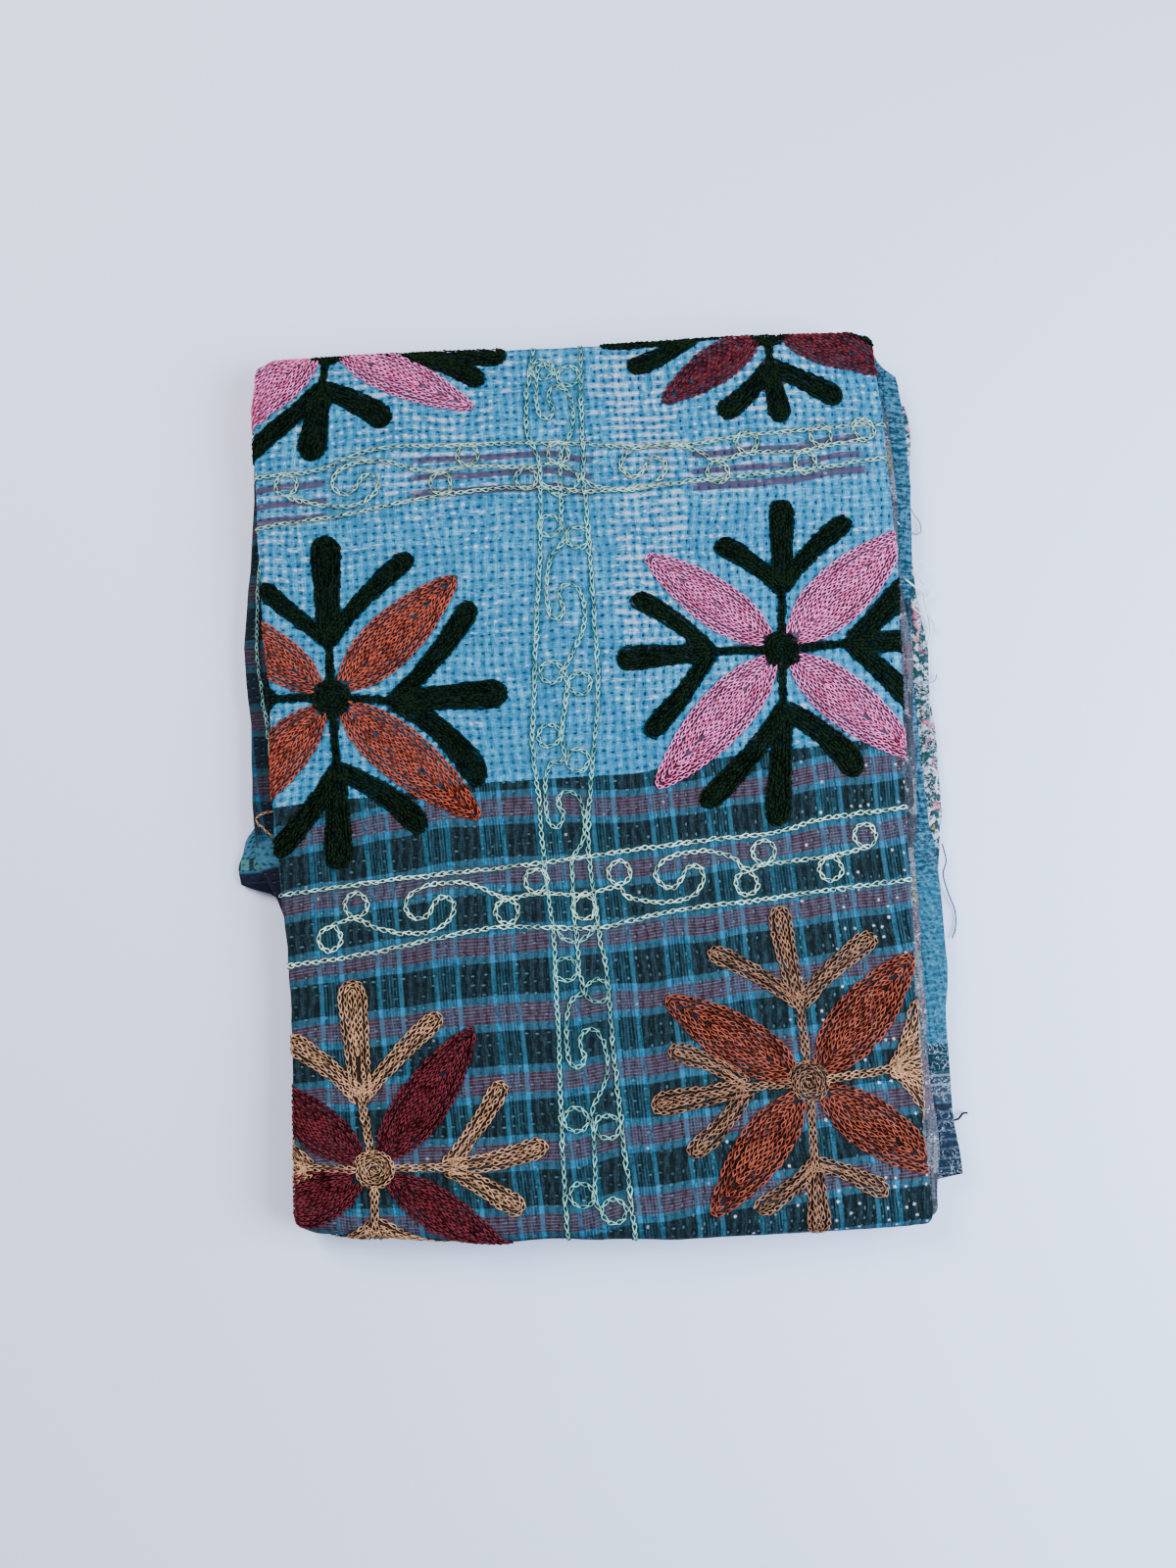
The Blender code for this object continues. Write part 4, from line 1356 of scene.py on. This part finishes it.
class Patch:
    """One filled shape of a flower: its yarn, its start, its way, its length and its half width along it."""

    def __init__(self, kind, piece, yarn, start, direction, length, width, bow=0.0):
        self.kind, self.piece, self.yarn = kind, piece, yarn
        self.start, self.way = start, way_of(direction)
        self.length, self.width, self.bow = length, width, bow

    def half(self, along):
        share = np.clip(along / self.length, 0.0, 1.0)
        table = PETAL_HALF if self.kind == "petal" else FINGER_HALF
        half = self.width / 2 * np.interp(share, *np.array(table).T)
        if self.kind == "finger":
            tip = self.width * 0.45
            past = np.clip((along - (self.length - tip)) / tip, 0.0, 1.0)
            half = half * np.sqrt(1.0 - past**2)
        return half

    def sway(self, along):
        share = along / self.length
        return 4.0 * self.bow * share * (1.0 - share)

    def flat(self, points):
        """Turns (along, across) points into flat places."""
        along, across = points[:, 0], points[:, 1] + self.sway(points[:, 0])
        way_a, way_b = self.way
        return self.start + np.column_stack([along * way_a - across * way_b, along * way_b + across * way_a])

    def inside(self, a, b):
        """How far in from the outline flat places lie. It is below zero outside."""
        a, b = a - self.start[0], b - self.start[1]
        way_a, way_b = self.way
        along = a * way_a + b * way_b
        across = b * way_a - a * way_b - self.sway(np.clip(along, 0, self.length))
        past = np.maximum(np.maximum(-along, along - self.length), 0.0)
        return self.half(along) - np.abs(across) - past

    def rows(self, pitch):
        """Rows that fill the shape, one drawn in from the other, as flat paths."""
        along = np.linspace(0.0, self.length, 121)
        half = self.half(along)
        inset, last = pitch / 2, 0.0
        while inset < self.width / 2 - pitch / 4:
            room = half - inset
            inside = along[(room > 0) & (along >= inset * 0.6) & (along <= self.length - inset * 0.6)]
            if len(inside) > 3:
                run = np.linspace(inside[0], inside[-1], 60)
                side = np.interp(run, along, room).clip(0.0)
                loop = np.vstack([np.column_stack([run, side]), np.column_stack([run[::-1], -side[::-1]])])
                yield self.flat(loop)
            last = inset
            inset += pitch * (1.15 if inset < self.width * 0.2 else 0.95)
        spine = along[half - last > pitch * 0.6]
        if len(spine) > 3:
            yield self.flat(np.column_stack([spine, spine * 0.0]))


def flower_patches(sizes):
    """Every filled petal and finger of the flowers."""
    reach = sizes.disc_radius * 0.8
    for name, flower in FLOWERS.items():
        middle, yarn = np.array(flower.middle) * MM, flower.petal_yarn
        for direction, length, width in flower.petals:
            start, piece = middle + way_of(direction) * reach, f"petals_{yarn}_{name}"
            yield Patch("petal", piece, yarn, start, direction, length * MM - reach, width * MM)
        for direction, stem, fingers, yarn in flower.each_leaf():
            joint, piece = middle + way_of(direction) * stem, f"leaves_{yarn}_{name}"
            for finger, length, width, bow in fingers:
                yield Patch("finger", piece, yarn, joint, finger, length * MM, width * MM, bow * MM)


class ChainWork:
    """Rows of chain stitches in flat places, gathered by piece and yarn and laid on the folded cloth."""

    def __init__(self, seed, sizes):
        self.rows, self.sizes = {}, sizes
        self.random = np.random.default_rng(seed)

    def chain(self, yarn):
        """A yarn's row of CHAINS, in metres."""
        return tuple(part * MM * self.sizes.stitch_size for part in CHAINS[yarn])

    def row(self, piece, yarn, path, size=1.0):
        """Chains along a flat path."""
        pitch, *_, uneven = self.chain(yarn)
        pitch *= size
        path = even_path(path, pitch)
        start, end = path[:-1], path[1:]
        count, (run_a, run_b) = len(start), (end - start).T
        jitter = self.random.normal(0.0, 1.0, (count, 3))
        middle = (start + end) / 2 + jitter[:, :2] * uneven
        heading = np.arctan2(run_b, run_a) + jitter[:, 2] * (0.04 + 0.25 * uneven / MM)
        scale = np.hypot(run_a, run_b) / pitch * size
        rows = np.column_stack([middle, heading, scale, np.full(count, size)])
        self.rows.setdefault((piece, yarn), []).append(rows)

    def lay_pieces(self):
        for (name, yarn), rows in self.rows.items():
            links = np.vstack(rows)
            links = links[faces_out(links[:, 0], links[:, 1]) > SHOWN]
            if not len(links):
                continue
            _, _, length, width, thickness, uneven = self.chain(yarn)
            fineness = (8, 3) if yarn == "green" else (9, 4)
            template, faces, height = chain_link(length, width, thickness, fineness)
            count, corners = len(links), len(template)
            spread = 0.05 + 0.2 * uneven / MM
            wobble = self.random.normal(1.0, spread, (count, 2))
            at_a, at_b, heading, long, wide = links.T[:, :, None]
            x, y = template[:, 0] * long * wobble[:, :1], template[:, 1] * wide * wobble[:, 1:]
            cos, sin = np.cos(heading), np.sin(heading)
            a, b = at_a + x * cos - y * sin, at_b + x * sin + y * cos
            lift = template[:, 2] * self.random.normal(1.0, spread, (count, 1))
            places = lay(a.ravel(), b.ravel(), lift.ravel())
            all_faces = (faces[None] + np.arange(count)[:, None, None] * corners).reshape(-1, faces.shape[1])
            piece = mesh_piece(name, places, all_faces, yarn_of(yarn, self.sizes))
            tone = np.repeat(self.random.random(count), corners)
            # tone holds a random shade per stitch, and how high each point stands for the yarn's painted highlight
            # and shade
            mark(piece.data, "tone", np.stack([tone, np.tile(height, count), tone], axis=-1))


class QUILT_OT_stitch_flowers(bpy.types.Operator):
    """Works the flowers in rows of chain stitch: four petals, a disc, and leaves on stems"""

    bl_idname = "quilt.stitch_flowers"
    bl_label = "Stitch the flowers"

    def execute(self, context):
        sizes = context.scene.quilt_stitches
        work = ChainWork(5, sizes)
        for patch in flower_patches(sizes):
            for row in patch.rows(work.chain(patch.yarn)[1]):
                work.row(patch.piece, patch.yarn, row)
        for name, flower in FLOWERS.items():
            middle, disc_yarn = np.array(flower.middle) * MM, flower.leaf_yarn
            for direction, stem, _, yarn in flower.each_leaf():
                piece = f"leaves_{yarn}_{name}"
                self.stitch_stem(work, piece, yarn, middle, direction, stem, sizes.disc_radius)
            self.stitch_disc(work, f"leaves_{disc_yarn}_{name}", disc_yarn, middle, sizes.disc_radius)
        work.lay_pieces()
        return {"FINISHED"}

    def stitch_stem(self, work, piece, yarn, middle, direction, stem, disc_radius):
        way, athwart = way_of(direction), way_of(direction + 90)
        spacing = work.chain(yarn)[1] * CLOSE_ROWS
        for side in (-1.0, 0.0, 1.0) if yarn == "green" else (-0.5, 0.5):
            start = middle + way * disc_radius * 0.9 + athwart * side * spacing
            end = middle + way * (stem + 5 * MM) + athwart * side * spacing
            work.row(piece, yarn, np.array([start, end]))

    def stitch_disc(self, work, piece, yarn, middle, disc_radius):
        row_pitch = work.chain(yarn)[1] * CLOSE_ROWS
        angle = np.linspace(0.0, 2 * math.pi * disc_radius / row_pitch, 240)
        radius = row_pitch * (0.25 + angle / (2 * math.pi))
        spiral = middle + np.column_stack([radius * np.cos(angle), radius * np.sin(angle)])
        work.row(piece, yarn, spiral, 0.85)


def border_rows(sizes):
    """The borders' rows as (piece, yarn, flat path, size): two lines each, rings and a vine between."""
    borders = [
        ("border_upper", "moss", UPPER_BORDER_FOOT, UPPER_BORDER_TOP, UPPER_VINE, SCROLL),
        ("border_lower", "sage", LOWER_BORDER_FOOT, LOWER_BORDER_TOP, LOWER_VINE, SCROLL),
        ("border_long", "aqua", LONG_BORDER_RIGHT, LONG_BORDER_LEFT, LONG_VINE, LONG_SCROLL),
    ]
    offset, ring, fine = 12.0, sizes.ring_radius / MM, 5 * MM
    for piece, yarn, low_line, high_line, vine, scroll in borders:
        runs_along_b = piece == "border_long"
        turned = -1 if runs_along_b else 1
        for line in (low_line, high_line):
            yield piece, yarn, smooth_path(np.array(sorted(line), float) * MM, fine)[:, ::turned], 1.0
        low_side = 1.0 if runs_along_b else -1.0
        stems = []
        for place, motif in sorted((place, motif) for motif, places in vine.items() for place in places):
            middle = (read_table(low_line, place * MM) + read_table(high_line, place * MM)) / 2 / MM
            if motif == "scroll":
                stems.extend((place + along, middle + across) for along, across in scroll)
                continue
            side = low_side if motif == "low" else -low_side
            stems.append((place, middle + side * (offset - ring) * 0.6))
            angle = np.linspace(0.0, 2 * math.pi, 40) + side * math.pi / 2
            circle = (place + ring * np.cos(angle), middle + side * offset + ring * np.sin(angle) * 1.05)
            yield piece, yarn, np.column_stack(circle)[:, ::turned] * MM, 0.95
        yield piece, yarn, smooth_path(np.array(stems) * MM, fine)[:, ::turned], 1.0
    for places in LONG_BRACKETS:
        yield "border_long", "aqua", smooth_path(np.array(places) * MM, fine), 1.0


def beside_marks(a, b, sizes):
    """How many millimetres each flat place lies from the nearest border row, up to MOST_BESIDE, for the painted
    shade beside the rows.
    """
    rows = np.vstack([even_path(path, 3 * MM) for _, _, path, _ in border_rows(sizes)])
    gap = np.full(len(a), MOST_BESIDE)
    for part in np.array_split(np.arange(len(a)), max(1, len(a) // 1500)):
        gaps = np.hypot(a[part, None] - rows[None, :, 0], b[part, None] - rows[None, :, 1])
        gap[part] = np.minimum(gaps.min(axis=1) / MM, MOST_BESIDE)
    return np.stack([gap, gap, gap], axis=-1)


class QUILT_OT_stitch_borders(bpy.types.Operator):
    """Works the borders in single chain: two lines with a vine of rings and scrolls between them"""

    bl_idname = "quilt.stitch_borders"
    bl_label = "Stitch the borders"

    def execute(self, context):
        sizes = context.scene.quilt_stitches
        work = ChainWork(6, sizes)
        for piece, yarn, path, size in border_rows(sizes):
            work.row(piece, yarn, path, size)
        for yarn, *places in UNDER_CHAINS:
            path = smooth_path(np.array(places) * MM, work.chain(yarn)[0])
            work.row("border_under_" + yarn, yarn, flat_under(*path.T), SMALL_SIZE)
        work.lay_pieces()
        return {"FINISHED"}


class QUILT_OT_lay_threads(bpy.types.Operator):
    """Lays the loose threads that have come out of the frayed hems"""

    bl_idname = "quilt.lay_threads"
    bl_label = "Lay the loose threads"

    def execute(self, context):
        for colour, shade in THREAD_COLOURS.items():
            points, faces = [], []
            for kind, thickness, *places in LOOSE_THREADS:
                if kind == colour:
                    path = smooth_path(np.array(places) * MM, 1.5 * MM)
                    tube_points, tube_faces = tube(path, thickness * MM)
                    faces.extend(tuple(len(points) + corner for corner in face) for face in tube_faces)
                    points.extend(tube_points.tolist())
            mesh_piece("threads_" + colour, points, faces, thread_material("thread_" + colour, shade))
        return {"FINISHED"}


# ---------------------------------------------------------------- the stage


class QUILT_OT_set_stage(bpy.types.Operator):
    """Sets a plain pale floor, soft light and the camera"""

    bl_idname = "quilt.set_stage"
    bl_label = "Set the stage"

    def execute(self, context):
        stage = context.scene.quilt_stage
        deselect_all()
        bpy.ops.mesh.primitive_plane_add(size=8.0, location=(0, 0, 0))
        floor = context.object
        floor.name = "floor"
        floor.data.materials.append(Graph("pale_floor").finish(stage.floor_colour, 0.6))

        for lamp in LAMPS:
            self.area_light(*lamp)
        world = bpy.data.worlds.new("soft_room")
        world.use_nodes = True
        background = world.node_tree.nodes["Background"]
        background.inputs["Color"].default_value = ROOM_COLOUR
        background.inputs["Strength"].default_value = ROOM_STRENGTH
        context.scene.world = world

        camera_data = bpy.data.cameras.new("camera")
        camera_data.sensor_width = 36.0
        camera_data.lens = stage.lens
        camera = bpy.data.objects.new("camera", camera_data)
        context.scene.collection.objects.link(camera)
        camera.location = (*CAMERA_PLACE, stage.camera_height)
        camera.rotation_euler = (stage.camera_tilt, 0.0, stage.camera_turn)
        context.scene.camera = camera
        return {"FINISHED"}

    def area_light(self, name, place, size, power, colour):
        data = bpy.data.lights.new(name, "AREA")
        data.shape = "DISK"
        data.size = size
        data.energy = power
        data.color = colour
        light = bpy.data.objects.new(name, data)
        bpy.context.scene.collection.objects.link(light)
        light.location = place
        light.rotation_euler = Vector(place).to_track_quat("Z", "Y").to_euler()


class QUILT_PT_panel(bpy.types.Panel):
    """The steps of making the quilt"""

    bl_label = "Folded quilt"
    bl_idname = "QUILT_PT_panel"
    bl_space_type = "VIEW_3D"
    bl_region_type = "UI"
    bl_category = "Quilt"

    def draw(self, context):
        for step in STEPS:
            self.layout.operator(step.bl_idname)
        for settings in SETTINGS:
            group = getattr(context.scene, settings)
            for name in group.bl_rna.properties.keys():
                if name not in ("rna_type", "name"):
                    self.layout.prop(group, name)


STEPS = (
    QUILT_OT_set_stage,
    QUILT_OT_fold_cloth,
    QUILT_OT_stitch_flowers,
    QUILT_OT_stitch_borders,
    QUILT_OT_lay_threads,
)
SETTINGS = {
    "quilt_cloth": QuiltClothSettings,
    "quilt_stitches": QuiltStitchSettings,
    "quilt_stage": QuiltStageSettings,
}


def register():
    for name, group in SETTINGS.items():
        bpy.utils.register_class(group)
        setattr(bpy.types.Scene, name, bpy.props.PointerProperty(type=group))
    for kind in (*STEPS, QUILT_PT_panel):
        bpy.utils.register_class(kind)


def unregister():
    for kind in reversed((*STEPS, QUILT_PT_panel)):
        bpy.utils.unregister_class(kind)
    for name, group in SETTINGS.items():
        delattr(bpy.types.Scene, name)
        bpy.utils.unregister_class(group)


def main():
    register()
    bpy.ops.quilt.set_stage()
    bpy.ops.quilt.fold_cloth()
    bpy.ops.quilt.stitch_flowers()
    bpy.ops.quilt.stitch_borders()
    bpy.ops.quilt.lay_threads()


if __name__ == "__main__":
    main()
